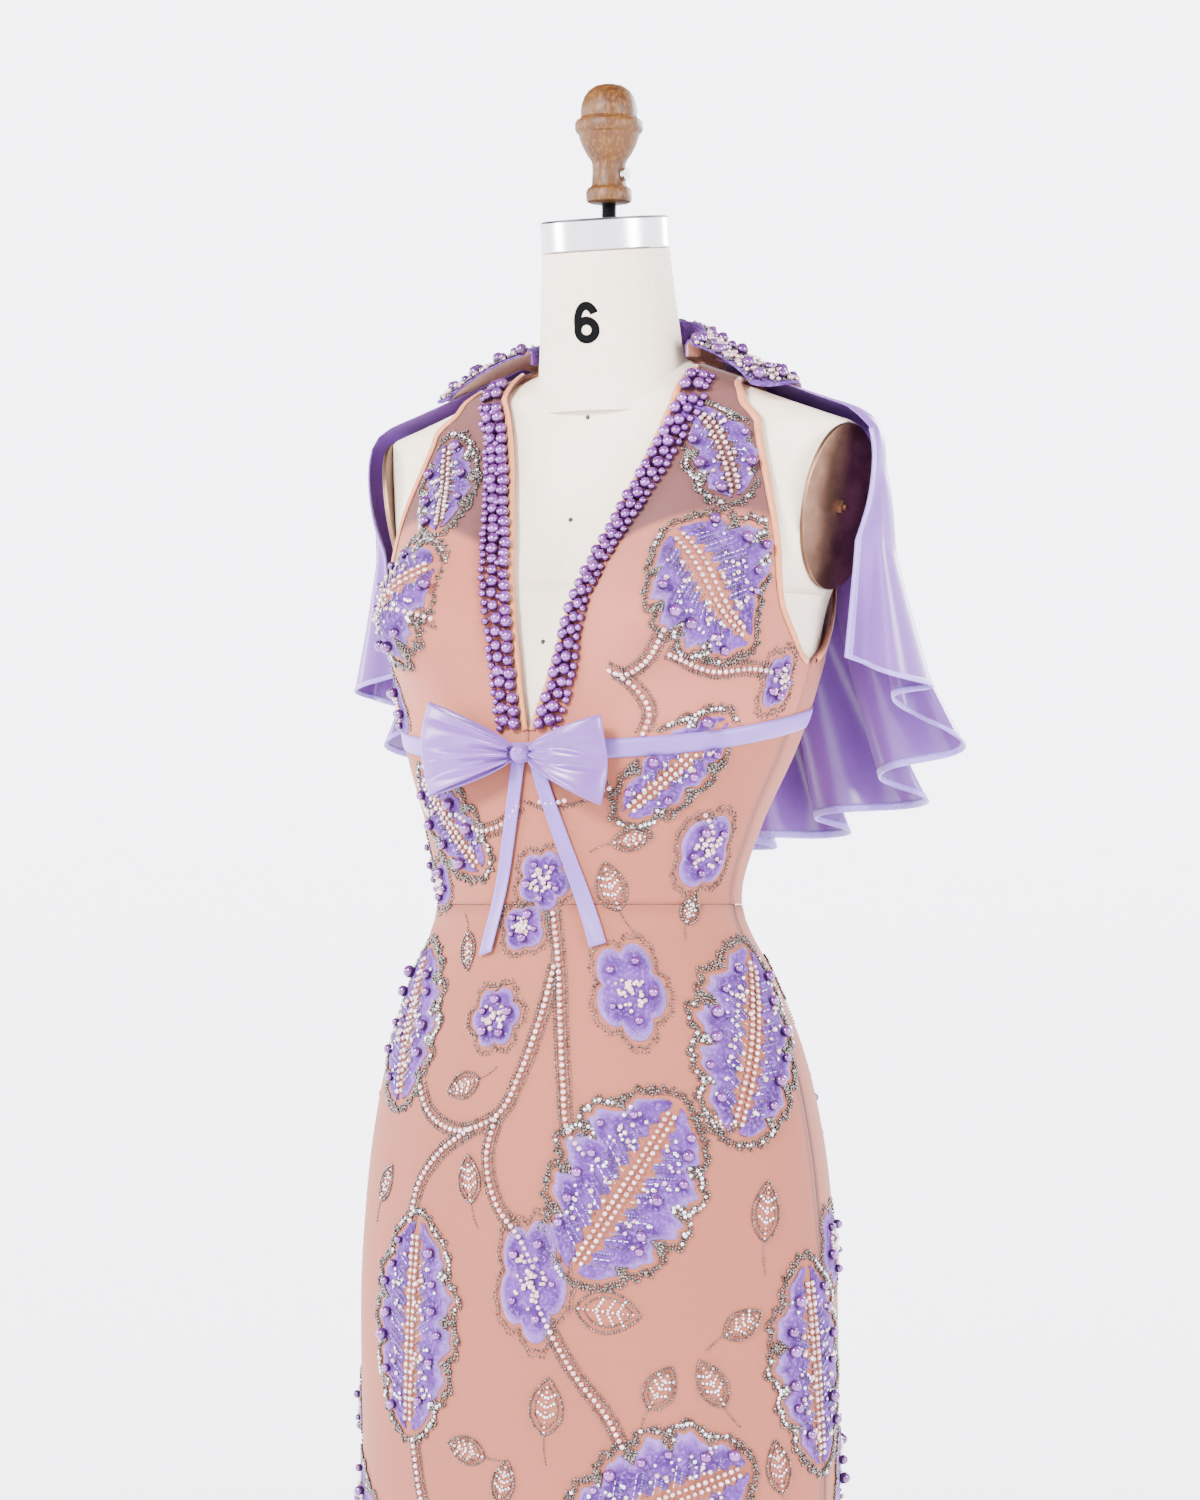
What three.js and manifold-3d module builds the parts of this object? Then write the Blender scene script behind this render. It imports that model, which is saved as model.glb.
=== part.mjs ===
// A halter-neck evening dress with a satin cape, standing on a limbless dress form.
// Millimetres, +Z up, the wearer faces -Y, and the origin is on the floor under the pole.
// The figure is one smooth surface. Every panel of cloth is a thin wall over a piece of it.
import * as THREE from "three";
import { mergeVertices } from "three/addons/utils/BufferGeometryUtils.js";
import Module from "manifold-3d";

const wasm = await Module();
wasm.setup();

// Driving dimensions
const WALL = 1.4; // cloth with its lining
const SEAM = 0.4; // gap left at every seam
const SKIN = 3.6; // the form lies this far inside the cloth
const WAIST_Z = 1050;
const HEM_Z = 20;
const FORM_BOTTOM_Z = 790;
const UNDERBUST_Z = 1152; // at centre front
const UNDERBUST_RISE = 20; // at the side, and again to centre back
const SHOULDER = { outerX: 99, outerZ: 1409, innerX: 66, innerZ: 1421 }; // ends of the strap's seam
const BACK_NECK_Z = 1440;
const ARMHOLE_BOTTOM_Z = 1214;
const RIBBON = { width: 13, thick: 1, lift: 0.5 };
const BINDING = { width: 4, thick: 1, lift: 1.6 };
const PEARLS = { width: 17, lift: 1.8, low: 3, high: 7, inset: 4.6, cells: 3, steps: 26 };
const LEAF = { thick: 1.3, cells: 4 };
const BUST = { x: 84, z: 1250, depth: 58, inner: 43, outer: 48, above: 60, below: 44 };
const NECK = { bottomZ: 1388, topZ: 1500, lowA: 57, lowB: 45, lowY: 8.5, highA: 44, highB: 44, highY: -4.5 };
const CAP = { radius: 44.5, height: 22, tilt: 7 };
const ROD = { radius: 5.4, height: 22 };
const POLE_RADIUS = 14;
const FOOT = { reach: 205, width: 36, thick: 11, hub: 46, hubHeight: 26 };
const PLATE = { x: 167, y: 14, z: 1320, halfHeight: 57, halfWidth: 40, thick: 3, yaw: 11, lean: 10 };
const CAPE = { wall: 1.2, lift: 6.4, centreY: 18, spread: 93, flutes: 5, columns: 50, margin: 9 };
const CAPE_ROWS = [0, 0.1, 0.2, 0.3, 0.4, 0.55, 0.7, 0.85, 1]; // the first four lie on the shoulders
const COLLAR = { wall: 1.8, columns: 24, rows: 8, reach: 100 };

// Level sections of the figure: z height, cy centre, a half width, bf and bb depth before and behind cy,
// n roundness (2 an ellipse, less a lens).
const SECTIONS = [
  { z: 20, cy: -18, a: 186, bf: 148, bb: 150, n: 2 },
  { z: 250, cy: -18, a: 170, bf: 123, bb: 130, n: 2 },
  { z: 450, cy: -18, a: 165, bf: 115, bb: 124, n: 2 },
  { z: 640, cy: -18, a: 171, bf: 114, bb: 126, n: 2 },
  { z: 777, cy: -20, a: 172, bf: 116, bb: 130, n: 2 },
  { z: 846, cy: -20, a: 167.5, bf: 116, bb: 128, n: 2 },
  { z: 895, cy: -20, a: 161, bf: 114, bb: 124, n: 2 },
  { z: 950, cy: -21, a: 148.5, bf: 108, bb: 112, n: 2 },
  { z: 998, cy: -24, a: 130, bf: 96, bb: 98, n: 2 },
  { z: 1050, cy: -29, a: 108.5, bf: 82, bb: 80, n: 2 },
  { z: 1101, cy: -24, a: 119, bf: 88, bb: 88, n: 2 },
  { z: 1160, cy: -14, a: 141, bf: 100, bb: 110, n: 2 },
  { z: 1215, cy: -2, a: 154, bf: 99, bb: 118, n: 2 },
  { z: 1253, cy: 4, a: 159, bf: 92, bb: 118, n: 2 },
  { z: 1295, cy: 12, a: 175, bf: 78, bb: 112, n: 2 },
  { z: 1322, cy: 15, a: 185, bf: 70, bb: 104, n: 2 },
  { z: 1350, cy: 16, a: 190, bf: 60, bb: 92, n: 1.9 },
  { z: 1370, cy: 16, a: 189, bf: 53, bb: 80, n: 1.8 },
  { z: 1379, cy: 15, a: 183, bf: 50, bb: 74, n: 1.75 },
  { z: 1390, cy: 14, a: 152, bf: 48, bb: 67, n: 1.7 },
  { z: 1400, cy: 13, a: 124, bf: 49, bb: 60, n: 1.7 },
  { z: 1409, cy: 13, a: 99, bf: 42, bb: 53, n: 1.7 },
  { z: 1421, cy: 17, a: 66, bf: 33, bb: 44, n: 1.7 },
  { z: 1436, cy: 28, a: 38, bf: 24, bb: 27, n: 1.8 },
  { z: 1447, cy: 36, a: 14, bf: 12, bb: 15, n: 2 },
];
// Heights of the points on the torso and on the skirt.
const TORSO_ROWS = [
  790, 820, 870, 910, 940, 965, 985, 1003, 1020, 1035, 1050, 1065, 1082, 1101, 1125, 1160,
  1185, 1210, 1232, 1253, 1276, 1300, 1325, 1350, 1370, 1379, 1390, 1400, 1409, 1421, 1436, 1447,
];
const SKIRT_ROWS = [
  HEM_Z, 250, 450, 640, 777, 820, 870, 910, 940, 965, 985, 1003, 1020, 1035, WAIST_Z - SEAM / 2,
];
// Edge of the V, from the point where the cups meet: height and distance from centre front.
const V_EDGE = [
  { z: 1165, x: 0.3 }, { z: 1198, x: 9 }, { z: 1247, x: 19 }, { z: 1300, x: 34 },
  { z: 1365, x: 54 }, { z: 1400, x: 65 }, { z: SHOULDER.innerZ, x: SHOULDER.innerX },
];
// Armhole edges, from under the arm to the shoulder: height and angle round the section.
const ARM_FRONT = [
  { z: 1214, eta: 90 }, { z: 1220, eta: 83 }, { z: 1232, eta: 77.5 }, { z: 1253, eta: 69.5 },
  { z: 1295, eta: 57 }, { z: 1330, eta: 48.5 }, { z: 1371, eta: 44.5 }, { z: 1388, eta: 49.5 },
  { z: 1399, eta: 60 }, { z: 1405, eta: 70 }, { z: SHOULDER.outerZ, eta: 90 },
];
const ARM_BACK = [
  { z: 1214, eta: 90 }, { z: 1222, eta: 97 }, { z: 1238, eta: 106 }, { z: 1262, eta: 120 },
  { z: 1300, eta: 137 }, { z: 1345, eta: 147 },
  { z: 1380, eta: 143 }, { z: 1396, eta: 130 }, { z: 1405, eta: 112 }, { z: SHOULDER.outerZ, eta: 90 },
];
// The cape at five bearings from centre back: neck where it is sewn in and hem in the hollows between
// flutes, both from the cape's centre, dropZ where it leaves the shoulder, hemZ and flute at the hem.
const CAPE_LINES = [
  { bearing: 0, neck: 52, dropZ: 1352, hem: 112, hemZ: 1087, flute: 22 },
  { bearing: 30, neck: 56, dropZ: 1354, hem: 130, hemZ: 1096, flute: 23 },
  { bearing: 60, neck: 66, dropZ: 1362, hem: 178, hemZ: 1132, flute: 25 },
  { bearing: 80, neck: 72, dropZ: 1371, hem: 194, hemZ: 1188, flute: 22 },
  { bearing: 93, neck: 74, dropZ: 1372, hem: 176, hemZ: 1212, flute: 8 },
];
// Velvet leaves: e and z middle, turn of the tip from straight up, length, width, and lift, which clears
// the flat facets of the panel below.
const LEAVES = [
  { name: "leaf_bust_left", e: 47, z: 1262, turn: 128, length: 112, width: 74, lift: 2 },
  { name: "leaf_bust_right", e: -36, z: 1258, turn: -118, length: 84, width: 66, lift: 2 },
  { name: "leaf_midriff_right", e: -36, z: 1106, turn: -38, length: 84, width: 46, lift: 0.6 },
  { name: "leaf_hip_right", e: -46, z: 968, turn: -12, length: 104, width: 62, lift: 0.7 },
  { name: "leaf_hip_left", e: 72, z: 958, turn: 24, length: 132, width: 66, lift: 1.3 },
  { name: "leaf_thigh_left", e: 28, z: 862, turn: 34, length: 130, width: 88, lift: 1 },
  { name: "leaf_thigh_right", e: -30, z: 765, turn: 4, length: 140, width: 72, lift: 0.7 },
  { name: "leaf_knee_left", e: 36, z: 655, turn: 70, length: 128, width: 84, lift: 0.9 },
];
// How wide a leaf is along its length, as a share of its half width.
const LEAF_LOBES = [0.06, 0.78, 0.62, 1, 0.8, 0.88, 0.58, 0.5, 0.04];

const MATERIALS = {
  linen: [0xdedbd3, 0.85, 0], steel: [0xb9b9bb, 0.25, 1], wood: [0xa9804f, 0.45, 0],
  plate: [0x5b4526, 0.4, 0.5],
  blackSteel: [0x222225, 0.5, 0.8], tulle: [0xd1a495, 0.8, 0], mesh: [0xb98c87, 0.8, 0],
  binding: [0xdea27e, 0.7, 0],
  satin: [0xb7a3dd, 0.3, 0], ribbon: [0xb3a0e0, 0.35, 0], velvet: [0x9f83cf, 0.9, 0],
  pearl: [0x9a78c4, 0.2, 0],
};

// Small helpers
const rad = (d) => (d * Math.PI) / 180;
const lerp = (a, b, t) => a + (b - a) * t;
const clamp = (v, a, b) => Math.min(b, Math.max(a, v));
const smooth = (t) => t * t * (3 - 2 * t);

// Smooth curve through a table: the value of a column at any key.
function along(table, key, column, at) {
  const last = table.length - 1;
  const v = clamp(at, table[0][key], table[last][key]);
  let i = 0;
  while (i < last - 1 && v > table[i + 1][key]) i += 1;
  const slope = (k) => {
    const a = table[Math.max(0, k - 1)];
    const b = table[Math.min(last, k + 1)];
    return (b[column] - a[column]) / (b[key] - a[key]);
  };
  const [p, q] = [table[i], table[i + 1]];
  const h = q[key] - p[key];
  const t = (v - p[key]) / h;
  return (
    (2 * t ** 3 - 3 * t ** 2 + 1) * p[column] + (t ** 3 - 2 * t ** 2 + t) * h * slope(i) +
    (-2 * t ** 3 + 3 * t ** 2) * q[column] + (t ** 3 - t ** 2) * h * slope(i + 1)
  );
}
// The same in straight lines.
function straight(table, key, column, at) {
  const v = clamp(at, table[0][key], table[table.length - 1][key]);
  let i = 0;
  while (i < table.length - 2 && v > table[i + 1][key]) i += 1;
  const [p, q] = [table[i], table[i + 1]];
  return lerp(p[column], q[column], (v - p[key]) / (q[key] - p[key]));
}

function section(z) {
  const s = { z };
  for (const column of ["cy", "a", "bf", "bb", "n"]) s[column] = along(SECTIONS, "z", column, z);
  return s;
}

// A point of the figure: eta is the angle round its section in degrees, 0 at centre front and 90 at
// the wearer's left.
function figure(eta, z) {
  const s = section(z);
  const [sn, cs] = [Math.sin(rad(eta)), Math.cos(rad(eta))];
  const p = 2 / s.n;
  const x = s.a * Math.sign(sn) * Math.abs(sn) ** p;
  let y = s.cy - (cs > 0 ? s.bf : s.bb) * Math.sign(cs) * Math.abs(cs) ** p;
  let out = 0;
  if (cs > 0) {
    const u = (Math.abs(x) - BUST.x) / (Math.abs(x) > BUST.x ? BUST.outer : BUST.inner);
    const v = (z - BUST.z) / (z > BUST.z ? BUST.above : BUST.below);
    const swell = BUST.depth * Math.exp(-u * u - v * v) * (1 - (1 - cs) ** 4);
    y -= swell;
    out = 0.2 * swell * Math.sign(x);
  }
  return new THREE.Vector3(x + out, y, z);
}

function figureNormal(eta, z) {
  const round = figure(eta + 0.6, z).sub(figure(eta - 0.6, z));
  const up = figure(eta, z + 0.8).sub(figure(eta, z - 0.8));
  return round.cross(up).normalize();
}

const over = (eta, z, lift) => figure(eta, z).addScaledVector(figureNormal(eta, z), lift);

// The angle at which the section at height z reaches x, in front (0 to 90).
function etaAt(x, z) {
  const s = section(z);
  return (Math.asin(clamp(Math.abs(x) / s.a, 0, 1) ** (s.n / 2)) * 180) / Math.PI;
}

const underbust = (eta) => UNDERBUST_Z + UNDERBUST_RISE * (1 - Math.cos(rad(eta)));

// Solids
// A wall over a grid: outside(i, j) and inside(i, j) are its points. ring closes it round i.
function wall(ni, nj, outside, inside, ring = false) {
  const at = [];
  const columns = ring ? ni : ni + 1;
  for (const side of [outside, inside]) {
    for (let i = 0; i < columns; i += 1) for (let j = 0; j <= nj; j += 1) at.push(side(i, j));
  }
  const id = (k, i, j) => k * columns * (nj + 1) + (ring ? i % ni : i) * (nj + 1) + j;
  const faces = [];
  const quad = (a, b, c, d) => faces.push(a, b, c, a, c, d);
  for (let i = 0; i < ni; i += 1) {
    for (let j = 0; j < nj; j += 1) {
      quad(id(0, i, j), id(0, i + 1, j), id(0, i + 1, j + 1), id(0, i, j + 1));
      quad(id(1, i, j), id(1, i, j + 1), id(1, i + 1, j + 1), id(1, i + 1, j));
    }
    quad(id(1, i, 0), id(1, i + 1, 0), id(0, i + 1, 0), id(0, i, 0));
    quad(id(0, i, nj), id(0, i + 1, nj), id(1, i + 1, nj), id(1, i, nj));
  }
  if (!ring) {
    for (let j = 0; j < nj; j += 1) {
      quad(id(0, 0, j), id(0, 0, j + 1), id(1, 0, j + 1), id(1, 0, j));
      quad(id(1, ni, j), id(1, ni, j + 1), id(0, ni, j + 1), id(0, ni, j));
    }
  }
  return facing(at, faces);
}

// A geometry whose faces point out, whichever way the grid ran.
function facing(points, faces) {
  let volume = 0;
  for (let f = 0; f < faces.length; f += 3) {
    const [a, b, c] = [points[faces[f]], points[faces[f + 1]], points[faces[f + 2]]];
    volume += a.dot(b.clone().cross(c));
  }
  if (volume < 0) {
    for (let f = 0; f < faces.length; f += 3) [faces[f + 1], faces[f + 2]] = [faces[f + 2], faces[f + 1]];
  }
  const geometry = new THREE.BufferGeometry().setFromPoints(points);
  geometry.setIndex(faces);
  return geometry;
}

function solid(geometry) {
  const plain = geometry.clone();
  for (const name of Object.keys(plain.attributes)) if (name !== "position") plain.deleteAttribute(name);
  const merged = mergeVertices(plain, 1e-4);
  return new wasm.Manifold(new wasm.Mesh({
    numProp: 3,
    vertProperties: Float32Array.from(merged.attributes.position.array),
    triVerts: Uint32Array.from(merged.index.array),
  }));
}

function geometryOf(manifold) {
  const mesh = manifold.getMesh();
  const geometry = new THREE.BufferGeometry();
  geometry.setAttribute("position", new THREE.BufferAttribute(Float32Array.from(mesh.vertProperties), 3));
  geometry.setIndex(Array.from(mesh.triVerts));
  return geometry;
}

const part = new THREE.Group();
function add(name, geometry, [color, roughness, metalness], parent = part) {
  geometry.computeVertexNormals();
  const mesh = new THREE.Mesh(geometry, new THREE.MeshStandardMaterial({ color, roughness, metalness }));
  mesh.name = name;
  parent.add(mesh);
  return mesh;
}

// The dress form
function ringStack(rings) {
  const n = rings[0].length;
  const points = rings.flat();
  const faces = [];
  for (let r = 0; r < rings.length - 1; r += 1) {
    for (let i = 0; i < n; i += 1) {
      const [a, b] = [r * n + i, r * n + ((i + 1) % n)];
      faces.push(a, b, b + n, a, b + n, a + n);
    }
  }
  for (const [r, way] of [[0, -1], [rings.length - 1, 1]]) {
    const middle = points.length;
    points.push(rings[r].reduce((m, p) => m.addScaledVector(p, 1 / n), new THREE.Vector3()));
    for (let i = 0; i < n; i += 1) {
      const [a, b] = [r * n + i, r * n + ((i + 1) % n)];
      faces.push(middle, way > 0 ? a : b, way > 0 ? b : a);
    }
  }
  return facing(points, faces);
}

function torso() {
  const columns = 36;
  const rings = TORSO_ROWS.map((z) =>
    Array.from({ length: columns }, (_, i) => over((360 * i) / columns, z, -SKIN)),
  );
  for (const p of rings[0]) p.z = FORM_BOTTOM_Z;
  const neckRings = [0, 0.25, 0.55, 1].map((t) => {
    const z = lerp(NECK.bottomZ, NECK.topZ, t);
    const cy = lerp(NECK.lowY, NECK.highY, t);
    return Array.from({ length: 32 }, (_, i) => {
      const w = rad((360 * i) / 32);
      const y = cy - lerp(NECK.lowB, NECK.highB, t) * Math.cos(w);
      const lean = t === 1 ? Math.tan(rad(CAP.tilt)) * (y - cy) : 0;
      return new THREE.Vector3(lerp(NECK.lowA, NECK.highA, t ** 0.8) * Math.sin(w), y, z + lean);
    });
  });
  let body = solid(ringStack(rings)).add(solid(ringStack(neckRings)));
  for (const side of [1, -1]) {
    const cutter = new THREE.BoxGeometry(120, 200, 220);
    cutter.translate(60, 0, 220 / 2 - PLATE.halfHeight - 4);
    cutter.applyMatrix4(plateFrame(side));
    body = body.subtract(solid(cutter));
  }
  return geometryOf(body);
}

// The flat where an arm would be: x out of the body, z up.
function plateFrame(side) {
  const frame = new THREE.Matrix4().makeTranslation(side * PLATE.x, PLATE.y, PLATE.z);
  frame.multiply(new THREE.Matrix4().makeRotationZ(side > 0 ? rad(-PLATE.yaw) : rad(180 + PLATE.yaw)));
  frame.multiply(new THREE.Matrix4().makeRotationY(rad(PLATE.lean)));
  return frame;
}

function armPlate(side) {
  const shape = new THREE.Shape();
  shape.absellipse(0, 0, PLATE.halfHeight, PLATE.halfWidth, 0, 2 * Math.PI);
  const flat = { depth: PLATE.thick, bevelEnabled: false, curveSegments: 16 };
  const plate = new THREE.ExtrudeGeometry(shape, flat);
  plate.rotateY(Math.PI / 2);
  plate.translate(0.4, 0, 0);
  const nut = new THREE.CylinderGeometry(5, 5, 5, 6).rotateZ(Math.PI / 2);
  nut.translate(0.4 + PLATE.thick + 1.5, 0, 0);
  const both = geometryOf(solid(plate).add(solid(nut)));
  both.applyMatrix4(plateFrame(side));
  return both;
}

const linen = MATERIALS.linen;
add("form_torso", torso(), linen);
for (const [name, side] of [["arm_plate_left", 1], ["arm_plate_right", -1]]) {
  add(name, armPlate(side), MATERIALS.plate);
}

const cap = new THREE.CylinderGeometry(CAP.radius, CAP.radius, CAP.height, 40).rotateX(Math.PI / 2);
cap.translate(0, 0, CAP.height / 2 + 0.4);
cap.rotateX(rad(CAP.tilt));
cap.translate(0, NECK.highY, NECK.topZ);
add("neck_cap", cap, MATERIALS.steel);
const capTop = NECK.topZ + CAP.height * Math.cos(rad(CAP.tilt)) + 2.1;

const knobBottom = capTop + 10;
const rodLength = knobBottom - capTop - 0.4;
const rod = new THREE.CylinderGeometry(ROD.radius, ROD.radius, rodLength, 14).rotateX(Math.PI / 2);
rod.translate(0, 0, (knobBottom + capTop) / 2);
add("knob_rod", rod, MATERIALS.blackSteel);

// The turned knob: radius at heights above its foot.
const KNOB = [
  { r: 14, h: 0 }, { r: 15.6, h: 1.5 }, { r: 15.6, h: 9 }, { r: 12.2, h: 12 }, { r: 11.6, h: 27 },
  { r: 14, h: 31 }, { r: 19, h: 40 }, { r: 21, h: 48 }, { r: 23.4, h: 51 }, { r: 23.4, h: 56 },
  { r: 19.5, h: 58.5 }, { r: 19, h: 68 }, { r: 15, h: 77 }, { r: 8, h: 81 },
];
const knobShape = [{ r: 0, h: 0 }, ...KNOB, { r: 0, h: 82 }].map((k) => new THREE.Vector2(k.r, k.h));
const knob = new THREE.LatheGeometry(knobShape, 16).rotateX(Math.PI / 2);
const screwHole = new THREE.CylinderGeometry(3, 3, 14, 10).rotateZ(Math.PI / 2).translate(14, 0, 19);
const knobBody = geometryOf(solid(knob).subtract(solid(screwHole)));
knobBody.translate(0, 0, knobBottom);
knobBody.rotateZ(rad(-5));
add("knob", knobBody, MATERIALS.wood);
const screwTurn = new THREE.Group();
screwTurn.rotation.z = rad(-5);
part.add(screwTurn);
const screw = new THREE.CylinderGeometry(2.6, 2.6, 5.2, 10).rotateZ(Math.PI / 2).translate(10.2, 0, 19);
const screwHead = new THREE.CylinderGeometry(4.4, 4.4, 3.2, 12).rotateZ(Math.PI / 2).translate(14.2, 0, 19);
const screwShape = geometryOf(solid(screw).add(solid(screwHead)));
const screwMesh = add("knob_set_screw", screwShape, MATERIALS.steel, screwTurn);
screwMesh.position.z = knobBottom;

const poleLength = FORM_BOTTOM_Z - FOOT.hubHeight - 0.8;
const pole = new THREE.CylinderGeometry(POLE_RADIUS, POLE_RADIUS, poleLength, 20).rotateX(Math.PI / 2);
pole.translate(0, 0, FOOT.hubHeight + 0.4 + poleLength / 2);
add("stand_pole", pole, MATERIALS.steel);
const bar = (length, width) => {
  const box = new THREE.BoxGeometry(length, width, FOOT.thick);
  return solid(box.translate(0, 0, FOOT.thick / 2));
};
const hub = new THREE.CylinderGeometry(FOOT.hub / 1.6, FOOT.hub, FOOT.hubHeight, 24);
hub.rotateX(Math.PI / 2).translate(0, 0, FOOT.hubHeight / 2);
const foot = bar(2 * FOOT.reach, FOOT.width).add(bar(FOOT.width, 2 * FOOT.reach)).add(solid(hub));
add("stand_foot", geometryOf(foot), MATERIALS.blackSteel);

// Panels of the dress
// A panel between four edges given as [eta, z] at 0 to 1: a Coons patch in that plane.
function patch(left, right, bottom, top) {
  return (u, v) => {
    const mix = (k) => {
      const [l, r, b, t] = [left(v)[k], right(v)[k], bottom(u)[k], top(u)[k]];
      const low = lerp(left(0)[k], right(0)[k], u);
      const high = lerp(left(1)[k], right(1)[k], u);
      return lerp(l, r, u) + lerp(b, t, v) - lerp(low, high, v);
    };
    return [mix(0), mix(1)];
  };
}

function panel(ni, nj, place, low = 0, thick = WALL) {
  const point = (lift) => (i, j) => over(...place(i / ni, j / nj), lift);
  return wall(ni, nj, point(low + thick), point(low));
}

const sideGap = (z) => (SEAM / 2 / section(z).a) * (180 / Math.PI);
const vEta = (z) => etaAt(straight(V_EDGE, "z", "x", z), z);
// The V edge, the armhole edges and the side seam as [eta, z] at 0..1, for the wearer's left.
const vEdge = (t) => {
  const z = lerp(underbust(0) + SEAM / 2, SHOULDER.innerZ, t);
  return [clamp(vEta(Math.max(z, V_EDGE[0].z)), 0.12, 88.8), z];
};
const armShare = 0.16;
const armEdge = (table, gap, bottomZ, split) => (t) => {
  if (t < split) return [90 - gap * sideGap(1190), lerp(bottomZ, ARMHOLE_BOTTOM_Z, t / split)];
  const z = lerp(ARMHOLE_BOTTOM_Z, SHOULDER.outerZ, (t - split) / (1 - split));
  const eta = along(table, "z", "eta", z);
  return [gap > 0 ? Math.min(eta, 90 - 1.2) : Math.max(eta, 90 + 1.2), z];
};
const frontArm = armEdge(ARM_FRONT, 1, underbust(90) + SEAM / 2, armShare);
const cupBottom = (u) => {
  const eta = lerp(0.12, 90 - sideGap(1170), u);
  return [eta, underbust(eta) + SEAM / 2];
};
const shoulderSeam = (u) => [88.8, lerp(SHOULDER.innerZ, SHOULDER.outerZ, u)];
const cup = patch(vEdge, frontArm, cupBottom, shoulderSeam);

const backSplit = 0.42;
const backArm = armEdge(ARM_BACK, -1, WAIST_Z + SEAM / 2, backSplit);
const centreBack = (t) => [179.87, lerp(WAIST_Z + SEAM / 2, BACK_NECK_Z, t)];
const backBottom = (u) => [lerp(90 + sideGap(1050), 179.87, u), WAIST_Z + SEAM / 2];
const neckShare = 0.25;
const backNeck = (u) => {
  if (u < neckShare) return [91.2, lerp(SHOULDER.outerZ, SHOULDER.innerZ, u / neckShare)];
  const w = (u - neckShare) / (1 - neckShare);
  return [lerp(91.2, 179.87, w), lerp(SHOULDER.innerZ, BACK_NECK_Z, smooth(w))];
};
const back = patch(backArm, centreBack, backBottom, backNeck);

const mirrored = (place, side) => (u, v) => {
  const [eta, z] = place(u, v);
  return [side * eta, z];
};
for (const [word, side] of [["left", 1], ["right", -1]]) {
  add(`bodice_front_${word}`, panel(9, 15, mirrored(cup, side)), MATERIALS.mesh);
  add(`bodice_back_${word}`, panel(7, 17, mirrored(back, side)), MATERIALS.mesh);
}
add("midriff_front", panel(16, 5, (u, v) => {
  const eta = lerp(-90, 90, u) * (1 - sideGap(1050) / 90);
  return [eta, lerp(WAIST_Z + SEAM / 2, underbust(eta) - SEAM / 2, v)];
}), MATERIALS.tulle);

function skirt(from, to, columns) {
  const place = (u, v) => {
    const z = SKIRT_ROWS[Math.round(v * (SKIRT_ROWS.length - 1))];
    const eta = lerp(from, to, u);
    return [eta + (u < 0.5 ? 1 : -1) * sideGap(z) * (u === 0 || u === 1 ? 1 : 0), z];
  };
  return panel(columns, SKIRT_ROWS.length - 1, place);
}
add("skirt_front", skirt(-90, 90, 16), MATERIALS.tulle);
add("skirt_back_left", skirt(90, 180, 8), MATERIALS.tulle);
add("skirt_back_right", skirt(-180, -90, 8), MATERIALS.tulle);

// The point of the figure that lies a short way off [eta, z], lifted.
function beside(eta, z, way, lift) {
  const round = figure(eta + 0.5, z).sub(figure(eta - 0.5, z));
  const up = figure(eta, z + 0.5).sub(figure(eta, z - 0.5));
  const [rr, ru, uu] = [round.dot(round), round.dot(up), up.dot(up)];
  const [wr, wu] = [way.dot(round), way.dot(up)];
  const det = rr * uu - ru * ru;
  return over(eta + (wr * uu - wu * ru) / det, z + (wu * rr - wr * ru) / det, lift);
}

// A strip laid beside an edge: in is how far from it, to is its far side, both across the panel.
function strip(edge, from, to, steps, cells, near, far, heights, low) {
  const frame = (t) => {
    const [eta, z] = edge(t);
    const step = 0.004;
    const [a, b] = [edge(clamp(t - step, 0, 1)), edge(clamp(t + step, 0, 1))];
    const run = over(b[0], b[1], 0).sub(over(a[0], a[1], 0)).normalize();
    const normal = figureNormal(eta, z);
    return { eta, z, across: run.cross(normal).normalize() };
  };
  const point = (lift) => (i, j) => {
    const f = frame(lerp(from, to, i / steps));
    return beside(f.eta, f.z, f.across.clone().multiplyScalar(lerp(near, far, j / cells)), low + lift(i, j));
  };
  return wall(steps, cells, point(heights), point(() => 0));
}

for (const [word, side] of [["left", 1], ["right", -1]]) {
  const edge = (t) => {
    const [eta, z] = vEdge(t);
    return [side * eta, z];
  };
  const bindingLow = WALL + BINDING.lift;
  const binding = (run, start, steps, way) =>
    strip(run, start, 0.985, steps, 1, way * 0.2, way * BINDING.width, () => BINDING.thick, bindingLow);
  add(`neck_binding_${word}`, binding(edge, 0.055, 22, side), MATERIALS.binding);
  const bump = (i, j) => {
    const rim = j === 0 || j === PEARLS.cells ? 0.72 : 1;
    return rim * ((i + j) % 2 ? PEARLS.high : PEARLS.low);
  };
  const [near, far] = [side * PEARLS.inset, side * (PEARLS.inset + PEARLS.width)];
  const low = WALL + PEARLS.lift;
  const pearls = strip(edge, 0.075, 0.955, PEARLS.steps, PEARLS.cells, near, far, bump, low);
  add(`pearl_band_${word}`, pearls, MATERIALS.pearl);
  const armholes = [["front", frontArm, armShare, -1], ["back", backArm, backSplit, 1]];
  for (const [where, arm, split, turn] of armholes) {
    const armhole = (t) => {
      const [eta, z] = arm(t);
      return [side * eta, z];
    };
    const edging = binding(armhole, split + 0.01, 18, side * turn);
    add(`arm_binding_${where}_${word}`, edging, MATERIALS.binding);
  }
}

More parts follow.
